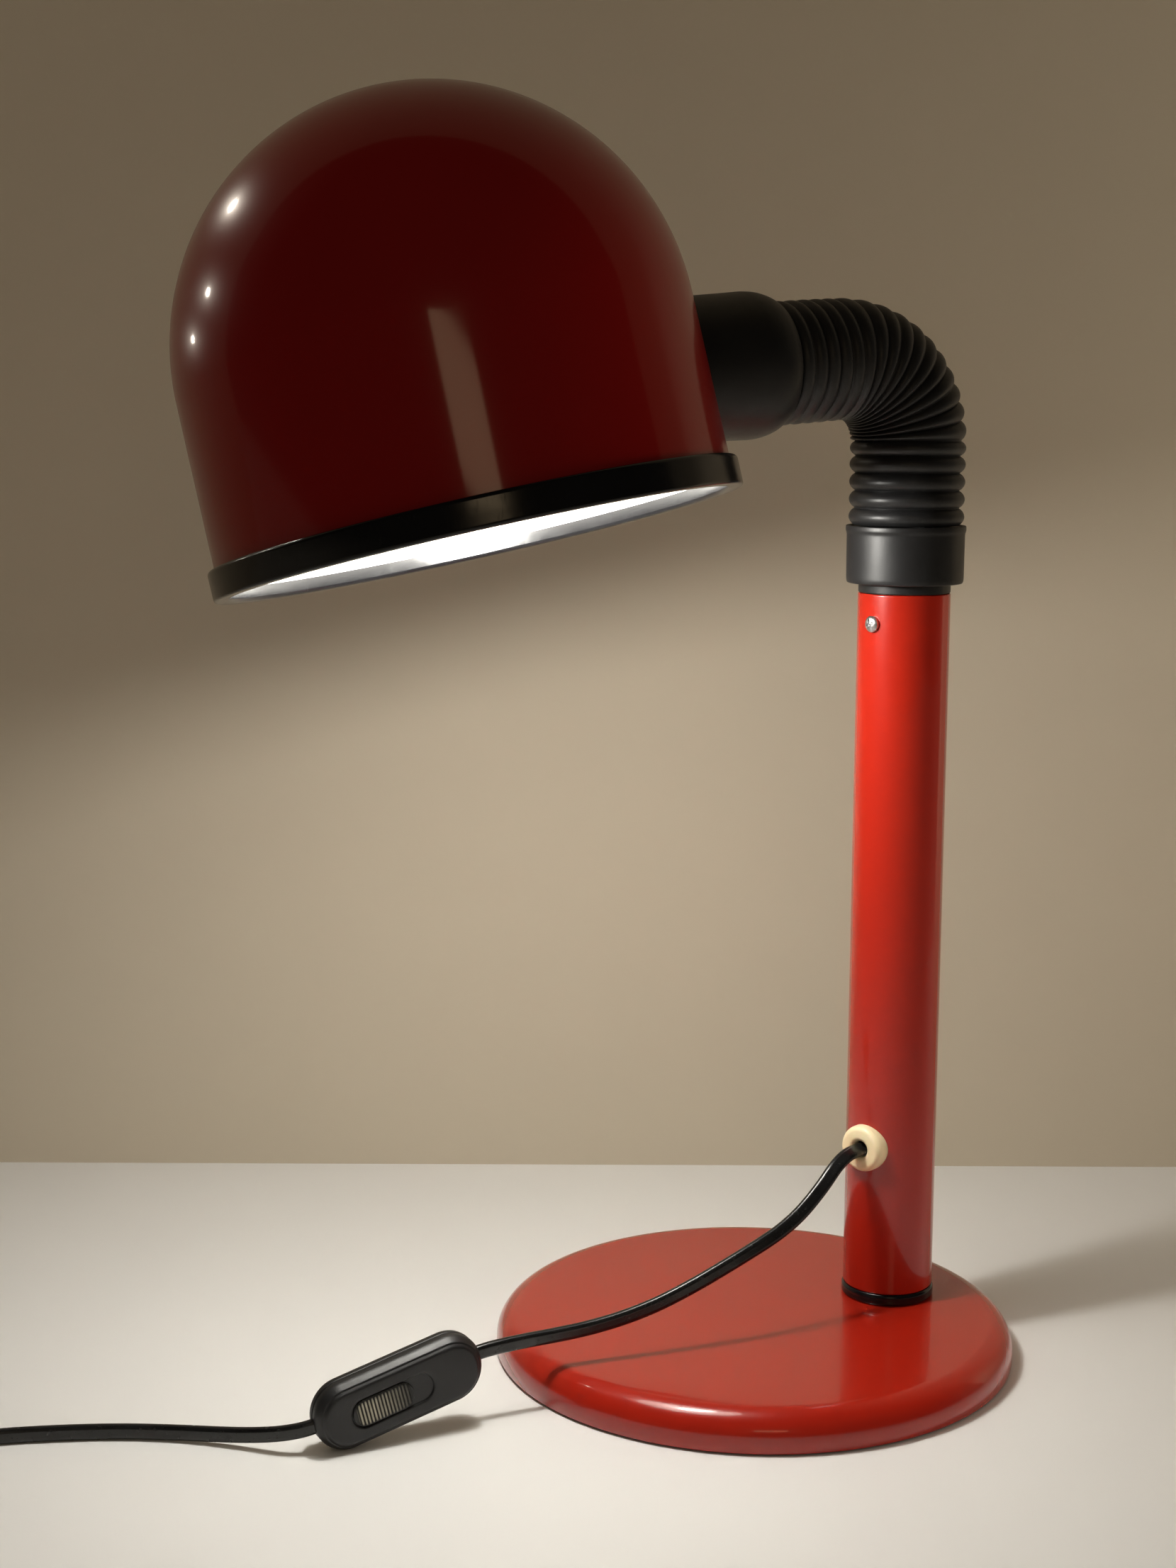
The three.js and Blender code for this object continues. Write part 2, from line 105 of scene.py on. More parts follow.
def finished(name, mesh, sharp=38):
    """Merges doubles, turns faces outwards, shades smooth with sharp edges over an angle."""
    bm = bmesh.new()
    bm.from_mesh(mesh)
    bmesh.ops.remove_doubles(bm, verts=bm.verts, dist=2e-6)
    bmesh.ops.dissolve_degenerate(bm, edges=bm.edges, dist=1e-7)
    bmesh.ops.recalc_face_normals(bm, faces=bm.faces)
    bm.to_mesh(mesh)
    bm.free()
    mesh.polygons.foreach_set("use_smooth", np.ones(len(mesh.polygons), bool))
    mesh.set_sharp_from_angle(angle=math.radians(sharp))
    piece = bpy.data.objects.new(name, mesh)
    scene.collection.objects.link(piece)
    return piece


def rounded(corners, steps=5):
    """An outline through (x, y, radius) corners: each corner is a quadratic arc whose ends lie
    one radius before and after it, and is never longer than 0.48 of the shorter side."""
    c = np.array(corners, float)
    out = [c[:1, :2]]
    t = np.linspace(0, 1, steps + 1)[:, None]
    for a, b, d in zip(c[:-2], c[1:-1], c[2:]):
        u, v = a[:2] - b[:2], d[:2] - b[:2]
        lu, lv = np.linalg.norm(u), np.linalg.norm(v)
        r = min(b[2], 0.48 * lu, 0.48 * lv)
        p, q = b[:2] + u / lu * r, b[:2] + v / lv * r
        out.append((1 - t) ** 2 * p + 2 * t * (1 - t) * b[:2] + t ** 2 * q if r > 0 else b[None, :2])
    out.append(c[-1:, :2])
    return np.concatenate(out)


def arc(cx, cy, r, start, end, steps):
    """Points on a circle from one angle to another, in degrees."""
    a = np.radians(np.linspace(start, end, steps + 1))
    return np.stack([cx + r * np.cos(a), cy + r * np.sin(a)], -1)


def moved(points, matrix):
    """Points in a piece's own millimetres to metres in the lamp's frame."""
    return (points @ matrix[:3, :3].T + matrix[:3, 3]) * MM


def lathe(name, outline, place, sides=128, closed=True, sharp=38):
    """Turns an outline of (radius, height) in millimetres about the piece's own Z axis."""
    outline = np.asarray(outline, float)
    a = np.linspace(0, 2 * np.pi, sides, endpoint=False)
    r, z = outline[:, :1], np.repeat(outline[:, 1:], sides, 1)
    points = np.stack([r * np.cos(a), r * np.sin(a), z], -1)
    return surface(name, moved(points, place), closed_rows=closed, sharp=sharp)


# %% [markdown]
# ## Where the pieces stand
# The post's axis stands off the middle of the base. The neck's centreline goes straight up,
# round a quarter circle and on for a short stretch, and the head hangs from its end. Its matrix
# is carried on to the shade, which is rolled a little about the cuff and droops a few degrees.
# %% Places
def turn(axis, degrees):
    return np.array(Matrix.Rotation(math.radians(degrees), 4, axis))


def shift(x, y, z):
    m = np.eye(4)
    m[:3, 3] = x, y, z
    return m


POST_X, POST_Y, POST_R = 65.5, -8.5, 20
TUBE_TOP, COLLAR_TOP = 335, 364.1
NECK_UP, NECK_BEND_R, NECK_BEND, NECK_OUT = 35.9, 34.17, math.radians(94.12), 31.58
NECK_ARC = NECK_BEND_R * NECK_BEND
NECK_LENGTH = NECK_UP + NECK_ARC + NECK_OUT


def neck_line(s):
    """Centre points and angles from upright at arc positions s above the collar."""
    s = np.asarray(s, float)
    b = np.clip((s - NECK_UP) / NECK_BEND_R, 0, NECK_BEND)
    before, after = np.minimum(s, NECK_UP), np.maximum(0, s - NECK_UP - NECK_ARC)
    x = POST_X - NECK_BEND_R * (1 - np.cos(b)) - after * np.sin(b)
    z = COLLAR_TOP + before + NECK_BEND_R * np.sin(b) + after * np.cos(b)
    return np.stack([x, np.full_like(x, POST_Y), z], -1), b


POST = shift(POST_X, POST_Y, 0)
neck_end, neck_angle = neck_line(NECK_LENGTH)
HEAD = shift(*neck_end) @ turn("Y", -math.degrees(neck_angle))
SHADE_AT, HOLDER_H = 148.58, 62.73
SHADE = (HEAD @ shift(0, 0, SHADE_AT) @ turn("Z", 10.775) @ turn("Y", 90 - 4.989)
         @ shift(0, 0, -HOLDER_H))
BUSH = shift(POST_X, POST_Y, 89.6) @ turn("Z", 201.7) @ turn("Y", 90)
SCREW = shift(POST_X, POST_Y, 322.4) @ turn("Z", 195.2) @ turn("Y", 90)
SWITCH = shift(-178.3, -18.3, 20.15) @ turn("Y", -14) @ turn("X", 90)
print("neck ends at", neck_end.round(1), "mm")

# %% [markdown]
# ## Node trees in a few words
# A finish is a Principled shader with its colour, roughness and bump worked out by nodes. The
# patterns that several finishes share are node groups: `mottle` gives a slow cloudy value,
# `specks` gives small scattered dots, and `hairlines` gives fine streaks. Groups output values
# only, and the shader itself stays in each material.
# %% Shared patterns
def group(name, inputs, outputs):
    """An empty node group with named sockets, and its input and output nodes."""
    tree = bpy.data.node_groups.new(name, "ShaderNodeTree")
    for kind, sockets in (("INPUT", inputs), ("OUTPUT", outputs)):
        for label, type_, value in sockets:
            s = tree.interface.new_socket(label, in_out=kind, socket_type="NodeSocket" + type_)
            if value is not None:
                s.default_value = value
    return tree, tree.nodes.new("NodeGroupInput"), tree.nodes.new("NodeGroupOutput")


def node(tree, kind, links=None, **values):
    """Adds a node. values set sockets or properties by name, links join output sockets to it."""
    n = tree.nodes.new("ShaderNode" + kind)
    for key, value in values.items():
        label = key.replace("_", " ")
        if label in n.inputs:
            n.inputs[label].default_value = value
        else:
            setattr(n, key, value)
    for label, socket in (links or {}).items():
        tree.links.new(socket, n.inputs[label])
    return n


def pattern(name, build):
    """A group with a Scale and a Strength input around one pattern, from 0 to Strength."""
    tree, start, end = group(
        name, [("Scale", "Float", 50.0), ("Strength", "Float", 1.0)], [("Value", "Float", None)])
    place = node(tree, "TexCoord")
    value = build(tree, place.outputs["Object"], start.outputs["Scale"])
    scaled = node(tree, "Math", {0: value, 1: start.outputs["Strength"]}, operation="MULTIPLY")
    tree.links.new(scaled.outputs[0], end.inputs["Value"])
    return tree


def clouds(tree, place, scale):
    n = node(tree, "TexNoise", {"Vector": place, "Scale": scale}, Detail=4.0, Roughness=0.55)
    ramp = node(tree, "MapRange", {"Value": n.outputs["Fac"]}, From_Min=0.2, From_Max=0.8)
    return ramp.outputs["Result"]


def dots(tree, place, scale):
    n = node(tree, "TexVoronoi", {"Vector": place, "Scale": scale}, Randomness=1.0)
    ramp = node(tree, "MapRange", {"Value": n.outputs["Distance"]},
                From_Min=0.16, From_Max=0.04)
    return ramp.outputs["Result"]


def streaks(tree, place, scale):
    squeeze = node(tree, "Mapping", {"Vector": place}, Scale=(1.0, 1.0, 0.06))
    n = node(tree, "TexNoise", {"Vector": squeeze.outputs["Vector"], "Scale": scale},
             Detail=3.0, Roughness=0.6)
    ramp = node(tree, "MapRange", {"Value": n.outputs["Fac"]}, From_Min=0.56, From_Max=0.72)
    return ramp.outputs["Result"]


MOTTLE = pattern("mottle", clouds)
SPECKS = pattern("specks", dots)
HAIRLINES = pattern("hairlines", streaks)
print("patterns:", [t.name for t in (MOTTLE, SPECKS, HAIRLINES)])

# %% [markdown]
# Every finish starts from the same recipe: two colours mixed by clouds, a roughness that
# wanders, dust specks, and a faint bump. The numbers say what the material is.
# %% Finish recipe
def use(tree, pattern_tree, scale, strength):
    """One use of a shared pattern, its Value socket."""
    n = tree.nodes.new("ShaderNodeGroup")
    n.node_tree = pattern_tree
    n.inputs["Scale"].default_value = scale
    n.inputs["Strength"].default_value = strength
    return n.outputs["Value"]


def blend_colour(tree, factor, a, b):
    m = tree.nodes.new("ShaderNodeMix")
    m.data_type = "RGBA"
    tree.links.new(factor, m.inputs["Factor"])
    for socket, value in ((m.inputs[6], a), (m.inputs[7], b)):
        if hasattr(value, "is_linked"):
            tree.links.new(value, socket)
        else:
            socket.default_value = (*value, 1)
    return m.outputs[2]


def finish(name, dark, light, rough=(0.3, 0.4), cloud=30.0, speck=(0, 0.0, (0.5, 0.5, 0.5)),
           bump=(800.0, 0.00001), scratch=0.0, **sockets):
    """A Principled material. speck is (scale, strength, colour), bump is (scale, height in m)."""
    material = bpy.data.materials.new(name)
    material.use_nodes = True
    tree = material.node_tree
    shader = tree.nodes["Principled BSDF"]
    cloudy = use(tree, MOTTLE, cloud, 1.0)
    colour = blend_colour(tree, cloudy, dark, light)
    if speck[1]:
        colour = blend_colour(tree, use(tree, SPECKS, speck[0], speck[1]), colour, speck[2])
    tree.links.new(colour, shader.inputs["Base Color"])
    fine = use(tree, MOTTLE, cloud * 3.1, 1.0)
    span = node(tree, "MapRange", {"Value": fine}, To_Min=rough[0], To_Max=rough[1])
    value = span.outputs["Result"]
    if scratch:
        lines = use(tree, HAIRLINES, 900.0, scratch)
        value = node(tree, "Math", {0: value, 1: lines}, operation="ADD").outputs[0]
    tree.links.new(value, shader.inputs["Roughness"])
    grain = node(tree, "TexNoise", {"Vector": node(tree, "TexCoord").outputs["Object"]},
                 Scale=bump[0], Detail=3.0)
    raised = node(tree, "Bump", {"Height": grain.outputs["Fac"]}, Distance=bump[1],
                  Strength=1.0)
    tree.links.new(raised.outputs["Normal"], shader.inputs["Normal"])
    for label, setting in sockets.items():
        shader.inputs[label.replace("_", " ")].default_value = setting
    return material


# %% [markdown]
# ## The finishes
# Red gloss paint is a deep colour under a clear coat, with a trace of orange peel. The black
# plastics differ in gloss: the rim ring shines, the cuff and collar are satin, the bellows are
# soft and slightly dusty. Metals are bright only where they show: screws and pins.
# %% Finishes
RED_POST = finish("red_gloss_paint", (0.335, 0.0125, 0.0045), (0.355, 0.0135, 0.005),
                  (0.255, 0.275), 6.0, bump=(420.0, 0.0000015),
                  Coat_Weight=0.6, Coat_Roughness=0.05, Specular_IOR_Level=0.3)
# The lampshade has the same red paint as the post, drawn at about half its brightness: painted shade
# for the lampshade's unlit outside.
LAMPSHADE_RED_PAINTED_SHADE = finish("lampshade_red_painted_shade", (0.16, 0.0026, 0.0022), (0.18, 0.0034, 0.0028),
                   (0.27, 0.29), 5.0, bump=(420.0, 0.0000015),
                   Coat_Weight=0.6, Coat_Roughness=0.08, Specular_IOR_Level=0.12)
WHITE_ENAMEL = finish("white_enamel", (0.60, 0.60, 0.59), (0.66, 0.66, 0.64), (0.25, 0.36), 20.0,
                      bump=(240.0, 0.00002))
BLACK_GLOSS = finish("black_gloss_plastic", (0.004, 0.004, 0.0045), (0.008, 0.008, 0.009),
                     (0.14, 0.22), 40.0, (700, 0.2, (0.06, 0.06, 0.06)), (300.0, 0.00001),
                     0.08)
BLACK_SATIN = finish("black_satin_plastic", (0.006, 0.006, 0.0065), (0.011, 0.011, 0.012),
                     (0.38, 0.48), 35.0, (800, 0.2, (0.07, 0.07, 0.068)), (1600.0, 0.00002),
                     0.06)
BELLOWS = finish("bellows_rubber", (0.008, 0.008, 0.0085), (0.016, 0.016, 0.017),
                 (0.36, 0.5), 60.0, (900, 0.35, (0.09, 0.088, 0.082)), (1300.0, 0.00002))
IVORY = finish("ivory_plastic", (0.84, 0.70, 0.42), (0.92, 0.80, 0.54), (0.35, 0.5), 120.0,
               (900, 0.2, (0.45, 0.36, 0.22)), (900.0, 0.00002), Subsurface_Weight=0.15,
               Subsurface_Scale=0.002)
BRIGHT_STEEL = finish("zinc_steel", (0.55, 0.55, 0.56), (0.72, 0.72, 0.72), (0.22, 0.4), 300.0,
                      (900, 0.3, (0.3, 0.28, 0.25)), (2500.0, 0.00001), 0.1, Metallic=1.0)
BRASS = finish("brass", (0.60, 0.42, 0.16), (0.74, 0.55, 0.26), (0.24, 0.4), 250.0,
               (1200, 0.3, (0.3, 0.2, 0.08)), (2200.0, 0.00001), 0.12, Metallic=1.0)
CAST_IRON = finish("cast_iron", (0.05, 0.048, 0.046), (0.11, 0.10, 0.095), (0.65, 0.85), 90.0,
                   (300, 0.5, (0.16, 0.09, 0.05)), (500.0, 0.0003), Metallic=0.6)
FELT = finish("dark_felt", (0.02, 0.018, 0.016), (0.05, 0.046, 0.042), (0.9, 1.0), 400.0,
              (1500, 0.3, (0.12, 0.11, 0.10)), (2600.0, 0.0003), Sheen_Weight=0.4)
PORCELAIN = finish("porcelain", (0.74, 0.71, 0.64), (0.84, 0.82, 0.76), (0.3, 0.5), 150.0,
                   bump=(700.0, 0.00003))
CABLE = finish("cable_sheath", (0.005, 0.005, 0.005), (0.011, 0.011, 0.011), (0.2, 0.3), 90.0,
               (900, 0.3, (0.10, 0.10, 0.098)), (1500.0, 0.00003))
FROSTED = finish("frosted_bulb", (0.90, 0.88, 0.82), (0.95, 0.93, 0.88), (0.4, 0.5), 60.0,
                 bump=(600.0, 0.00001), Emission_Color=(1.0, 0.96, 0.89, 1.0),
                 Emission_Strength=34.0)
print("finishes:", len([m for m in bpy.data.materials if m.users or m.use_nodes]))


def dress(piece, material, body, slot, *nodes):
    """Gives a piece its material, the body that carries it and the CAD nodes it stands for."""
    if not piece.data.materials:
        piece.data.materials.append(material)
    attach(piece, body)
    if nodes:
        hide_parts(*nodes)
    return piece


# %% [markdown]
# ## The mains cord
# One flat two-core flex, 6.4 by 4 mm, leaves the ivory bush, hangs to the inline switch, runs
# through it and away across the table. What isn't needed is wound in a coil of two layers. Its
# route is a list of points, as the CAD model has, with the coil's turns worked out, and a smooth
# curve through them. The flat side stands upright, except near the bush, where it twists.
# %% Cord route
CORD_W, CORD_T = 6.4, 4.0
LEAD = [
    (42.0, -17.9, 89.6), (35.0, -20.5, 89.2), (28.2, -22.5, 86.0), (19.4, -24.7, 78.2),
    (7.4, -26.8, 68.8), (-4.0, -28.1, 62.4), (-18.4, -28.7, 56.4), (-32.0, -28.4, 50.8),
    (-45.5, -27.5, 45.2), (-61.7, -25.9, 39.2), (-77.5, -24.0, 35.0), (-93.2, -22.0, 32.4),
    (-108.9, -20.2, 31.2), (-124.6, -18.9, 30.6), (-141.9, -18.3, 29.3)]
THROUGH = [(-160.1, -18.3, 24.7), (-178.3, -18.3, 20.2), (-196.8, -18.3, 15.5)]
TAIL = [
    (-215.2, -18.1, 10.9), (-224.7, -13.4, 8.5), (-235.6, -3.4, 5.8), (-247.7, 7.2, 4.3),
    (-259.8, 16.4, 3.6), (-278.4, 27.3, 3.4), (-301.4, 37.1, 3.4), (-324.7, 44.8, 3.4),
    (-343.0, 48.4, 3.4), (-357.0, 50.6, 3.4)]
END = [
    (-408.5, 90.0, 9.6), (-412.2, 103.0, 8.6), (-413.0, 116.0, 7.4), (-411.5, 128.0, 6.4),
    (-405.0, 140.0, 6.4), (-396.3, 149.1, 6.9)]
COIL_X, COIL_Y, COIL_OUT, COIL_IN = -366, 95, 42.5, 29.5


def coil_points(turns=6.12, per_turn=16, start=-100):
    """A flat spiral in two layers: inwards for 2 turns, 2 turns at the inner radius while it
    rises by one cord, and outwards again. It runs clockwise from the start angle."""
    n = np.linspace(0, turns, int(turns * per_turn))
    inward, outward = np.clip(n / 2, 0, 1), np.clip((n - 4) / 2, 0, 1)
    r = COIL_OUT - (COIL_OUT - COIL_IN) * (inward - outward)
    rise = np.clip((n - 2.6) / 0.8, 0, 1)
    z = 3.4 + 6.5 * rise ** 2 * (3 - 2 * rise)
    a = np.radians(start) - 2 * np.pi * n
    return np.stack([COIL_X + r * np.cos(a), COIL_Y + r * np.sin(a), z], -1)


def smooth_path(points, spacing=1.6):
    """A centripetal cubic through the points, resampled at one spacing and relaxed a little:
    each tangent is the slope between neighbours, so no corner is left."""
    p = np.array(points, float)
    knots = np.concatenate([[0], np.cumsum(np.linalg.norm(np.diff(p, axis=0), axis=1) ** 0.5)])
    slope = np.gradient(p, knots, axis=0)
    t = np.linspace(0, knots[-1], 12 * len(p))
    k = np.clip(np.searchsorted(knots, t, side="right") - 1, 0, len(p) - 2)
    h = (knots[k + 1] - knots[k])[:, None]
    u = ((t - knots[k])[:, None]) / h
    q = ((2 * u**3 - 3 * u**2 + 1) * p[k] + (u**3 - 2 * u**2 + u) * h * slope[k]
         + (3 * u**2 - 2 * u**3) * p[k + 1] + (u**3 - u**2) * h * slope[k + 1])
    for _ in range(12):
        q[1:-1] = 0.25 * q[:-2] + 0.5 * q[1:-1] + 0.25 * q[2:]
    s = np.concatenate([[0], np.cumsum(np.linalg.norm(np.diff(q, axis=0), axis=1))])
    at = np.linspace(0, s[-1], int(s[-1] / spacing))
    return np.stack([np.interp(at, s, q[:, i]) for i in range(3)], -1), s[-1]


route = [(50.0, -14.7, 89.6), (46.0, -16.3, 89.6)] + LEAD + THROUGH + TAIL
route = np.concatenate([np.array(route), coil_points()[1:], np.array(END)])
cord_line, cord_length = smooth_path(route)
print("cord length", round(cord_length), "mm")


# %% [markdown]
# The flex is one closed outline carried along the route. A frame of three directions goes with
# it: along the line, upright, and sideways. A slow twist about the line makes the cord lie as a
# used one does, and the twist is strongest at the bush.
# %% Cord surface
def flat_section(count=28):
    """A flat twin flex: two round cores side by side, so the wide faces have a shallow valley."""
    a = np.linspace(0, 2 * np.pi, count, endpoint=False)
    half, core = CORD_W / 2, CORD_T / 2
    y = (half - core) * np.sign(np.sin(a)) * np.abs(np.sin(a)) ** 0.4 + core * np.sin(a)
    x = core * np.sign(np.cos(a)) * np.abs(np.cos(a)) ** 0.8
    return x * (1 - 0.13 * np.exp(-((y / 0.75) ** 2))), y


def swept(line, section, twist, scale=None):
    """A section carried along a line. Its y side stays upright, turned by twist about the line."""
    tangent = np.gradient(line, axis=0)
    tangent /= np.linalg.norm(tangent, axis=1, keepdims=True)
    upright = np.array([0, 0, 1.0]) - tangent * tangent[:, 2:3]
    upright /= np.linalg.norm(upright, axis=1, keepdims=True)
    side = np.cross(tangent, upright)
    c, s = np.cos(twist)[:, None], np.sin(twist)[:, None]
    w, n = c * upright + s * side, c * side - s * upright
    k = np.ones(len(line)) if scale is None else scale
    x, y = section
    return (line[:, None] + n[:, None] * (x * k[:, None])[..., None]
            + w[:, None] * (y * k[:, None])[..., None])


def capped(rings):
    """Adds a row at each end with every point at the middle, which closes the tube."""
    first, last = rings[:1].mean(1, keepdims=True), rings[-1:].mean(1, keepdims=True)
    n = rings.shape[1]
    return np.concatenate([first.repeat(n, 1), rings, last.repeat(n, 1)])


run = np.concatenate([[0], np.cumsum(np.linalg.norm(np.diff(cord_line, axis=0), axis=1))])
lazy_twist = np.radians(62) * np.exp(-((run / 52) ** 2)) + np.radians(5) * np.sin(run / 47)
cord = surface("mains_cord", capped(swept(cord_line, flat_section(), lazy_twist)) * MM, sharp=60)
dress(cord, CABLE, "stand", "cable", "cord_lead", "cord_tail", "cord_coil", "cord_end")
print("cord faces", len(cord.data.polygons))

# %% [markdown]
# ## The base
# A pressed steel dish with a generously rounded edge hides an iron disc, and a thin dark pad
# keeps it off the table. The dish is a turned shell: its outline runs over the top, round the
# edge, down a short upright side and back along the inside.
# %% Base
BASE_R, BASE_H, EDGE, SHEET, PAD = 114.3, 17.1, 11.3, 1.5, 1.5
LAMP = shift(0, 0, 0)
base_outline = np.concatenate([
    [[0, BASE_H]], [[r, BASE_H] for r in np.linspace(12, 96, 8)],
    arc(BASE_R - EDGE, BASE_H - EDGE, EDGE, 90, 0, 20),
    [[BASE_R, 1.4], [BASE_R - 0.35, 0.9], [BASE_R - 1.1, 0.8], [BASE_R - SHEET, 1.4]],
    arc(BASE_R - EDGE, BASE_H - EDGE, EDGE - SHEET, 0, 90, 12), [[0, BASE_H - SHEET]]])
base = lathe("base_dish", base_outline, LAMP, sides=256, closed=False)
dress(base, RED_POST, "stand", "red_paint", "base_cover")
pad_outline = rounded([(0, 0, 0), (112, 0, 0.5), (112.2, PAD, 0.5), (0, PAD, 0)])
dress(lathe("base_felt", pad_outline, LAMP, sides=192, closed=False), FELT, "stand", "felt",
      "base_pad")
print("base radius", BASE_R, "mm")

# %% [markdown]
# ## The post
# A steel tube 40 mm across stands in a black ring. Near its top a small screw holds the neck's
# plug, whose edge shows as a thin black band under the collar.
# %% Post, foot ring and collar
tube = lathe("post_tube_painted", rounded([
    (18.6, 22.6, 0), (POST_R - 0.3, 22.6, 0), (POST_R, 23.0, 0.3), (POST_R, TUBE_TOP - 0.4, 0.3),
    (POST_R - 0.4, TUBE_TOP, 0.2), (18.6, TUBE_TOP, 0)]), POST, sides=160)
dress(tube, RED_POST, "stand", "red_paint", "post_tube")
foot = lathe("foot_ring_gloss", rounded([
    (6, 17.4, 0), (20.1, 17.4, 0.4), (20.7, 18.2, 0.6), (20.6, 21.2, 0.8), (20.0, 22.3, 0.3),
    (18.2, 22.4, 0.2), (18.2, 30, 0.5), (6, 30, 0)]), POST, sides=128)
dress(foot, BLACK_GLOSS, "stand", "black_gloss", "post_foot_ring")
plug = lathe("neck_plug_sleeve", rounded([
    (9, 296, 0), (18.2, 296, 1), (18.2, 335.2, 0.1), (19.9, 335.3, 0.4), (19.9, 358, 0.5),
    (9, 358, 0)]), POST, sides=128)
dress(plug, BLACK_SATIN, "stand", "black_satin", "neck_plug")
collar = lathe("neck_collar_turned", rounded([
    (20.2, 358.5, 0), (20.2, 339.6, 0.4), (24.9, 339.2, 0.8), (25.3, 341.0, 0.8),
    (25.4, 360.6, 0.8), (25.9, 362.0, 0.6), (25.8, COLLAR_TOP, 0.6), (24.6, COLLAR_TOP, 0.3),
    (24.2, COLLAR_TOP - 0.8, 0.3), (12, COLLAR_TOP - 0.8, 0), (12, 358.5, 0)]), POST, sides=160)
dress(collar, BLACK_SATIN, "stand", "black_satin", "neck_collar")
print("post", 2 * POST_R, "mm across, tube top at", TUBE_TOP, "mm")


# %% [markdown]
# The set screw has a domed pan head with a cross recess. The head is a polar grid whose height
# is a dome less a cross: the cross is two crossed slots with soft sides.
# %% Set screw
def cross_head(name, radius, height, place, lift):
    """z = dome(r) - depth * max(slot(x), slot(y)); slot is 1 within the half width, then falls."""
    r = np.concatenate([np.linspace(0, radius * 0.97, 26), [radius, radius, radius]])[:, None]
    a = np.linspace(0, 2 * np.pi, 96, endpoint=False)[None]
    x, y = r * np.cos(a), r * np.sin(a)
    dome = height * (1 - 0.55 * (np.clip(r / radius, 0, 1) ** 3.2)) * np.ones_like(a)

    def slot(across, along):
        side = np.clip((0.5 - np.abs(across)) / 0.22 + 0.5, 0, 1)
        return side * np.clip((0.6 * radius - np.abs(along)) / 0.3 + 0.5, 0, 1)

    z = dome - 1.1 * np.maximum(slot(x, y), slot(y, x))
    z[-2], z[-1] = 0.3, 0.0
    points = np.stack([x, y, z + lift], -1)
    bottom = points[-1:].mean(1, keepdims=True).repeat(a.shape[1], 1)
    return surface(name, moved(np.concatenate([points, bottom]), place), sharp=30)


screw = cross_head("set_screw_head", 3.5, 2.2, SCREW @ turn("Z", 25), POST_R + 0.15)
dress(screw, BRIGHT_STEEL, "stand", "steel", "post_screw")
print("set screw faces", len(screw.data.polygons))


# %% [markdown]
# The ivory bush is a thick washer with a round nose, seated on the curved tube. Its back has to
# follow the tube, so the outline's last points are pushed back to the tube's surface.
# %% Cord bush
def seated_bush(name, place):
    """A ring about the local Z axis. Local Y is level, so the tube's surface lies at the height
    sqrt(R^2 - y^2) and the ring's back rows are set there, less a little."""
    front = rounded([(3.7, 15.0, 0), (3.7, 23.6, 0.8), (5.0, 24.6, 0.8), (9.0, 24.4, 1.5),
                     (10.4, 22.6, 1.5), (10.4, 19, 0)], 6)
    a = np.linspace(0, 2 * np.pi, 96, endpoint=False)
    r, z = front[:, :1], np.repeat(front[:, 1:], a.size, 1)
    points = np.stack([r * np.cos(a), r * np.sin(a), z], -1)
    for row, radius in ((-1, 10.4), (0, 3.7)):
        level = radius * np.sin(a)
        points[row, :, 2] = np.sqrt(POST_R ** 2 - level ** 2) + 0.05
    return surface(name, moved(points, place), closed_rows=True)


bush = seated_bush("cord_bush_ivory", BUSH)
dress(bush, IVORY, "stand", "ivory", "cord_bush")
# A thin black disc closes the bush's bore at the tube: painted shade for the dark hole into the post
# round the cord.
bore_painted_shade = lathe("cord_bush_bore_painted_shade", [(0, 20.4), (3.6, 20.4), (3.6, 20.9), (0, 20.9)], BUSH, 48,
               closed=False)
dress(bore_painted_shade, BLACK_SATIN, "stand", "ivory")
print("bush faces", len(bush.data.polygons))

# %% [markdown]
# ## The bellows neck
# The neck's sleeve is one ribbed tube. Its radius is a row of round bulges with tight grooves:
# with t running 0 to 1 over each rib, the bulge is |sin(pi t)| to a small power. The ribs are
# wider on the straight stretch that is pulled out and closer in the bend. The sleeve is split
# in the middle of each link, so that each length spans one hinge.
# %% Bellows
RIB_COLUMNS = 120
RIB_TOP, RIB_DEEP, RIB_SHALLOW = 24.8, 2.9, 2.0
PITCH_UP, PITCH_BEND, PITCH_OUT = 7.6, 5.2, 6.2


def rib_phase(s):
    """Number of ribs passed at s: the sum of ds over the local pitch, eased between stretches."""
    fine = np.linspace(0, NECK_LENGTH, 2000)
    into_bend = 1 / (1 + np.exp(-(fine - NECK_UP + 2) / 3))
    out_of_bend = 1 / (1 + np.exp(-(fine - NECK_UP - NECK_ARC) / 3))
    pitch = (PITCH_UP + (PITCH_BEND - PITCH_UP) * into_bend
             + (PITCH_OUT - PITCH_BEND) * out_of_bend)
    count = np.concatenate([[0], np.cumsum(np.diff(fine) / pitch[1:])])
    return np.interp(s, fine, count * round(count[-1]) / count[-1]), round(count[-1])


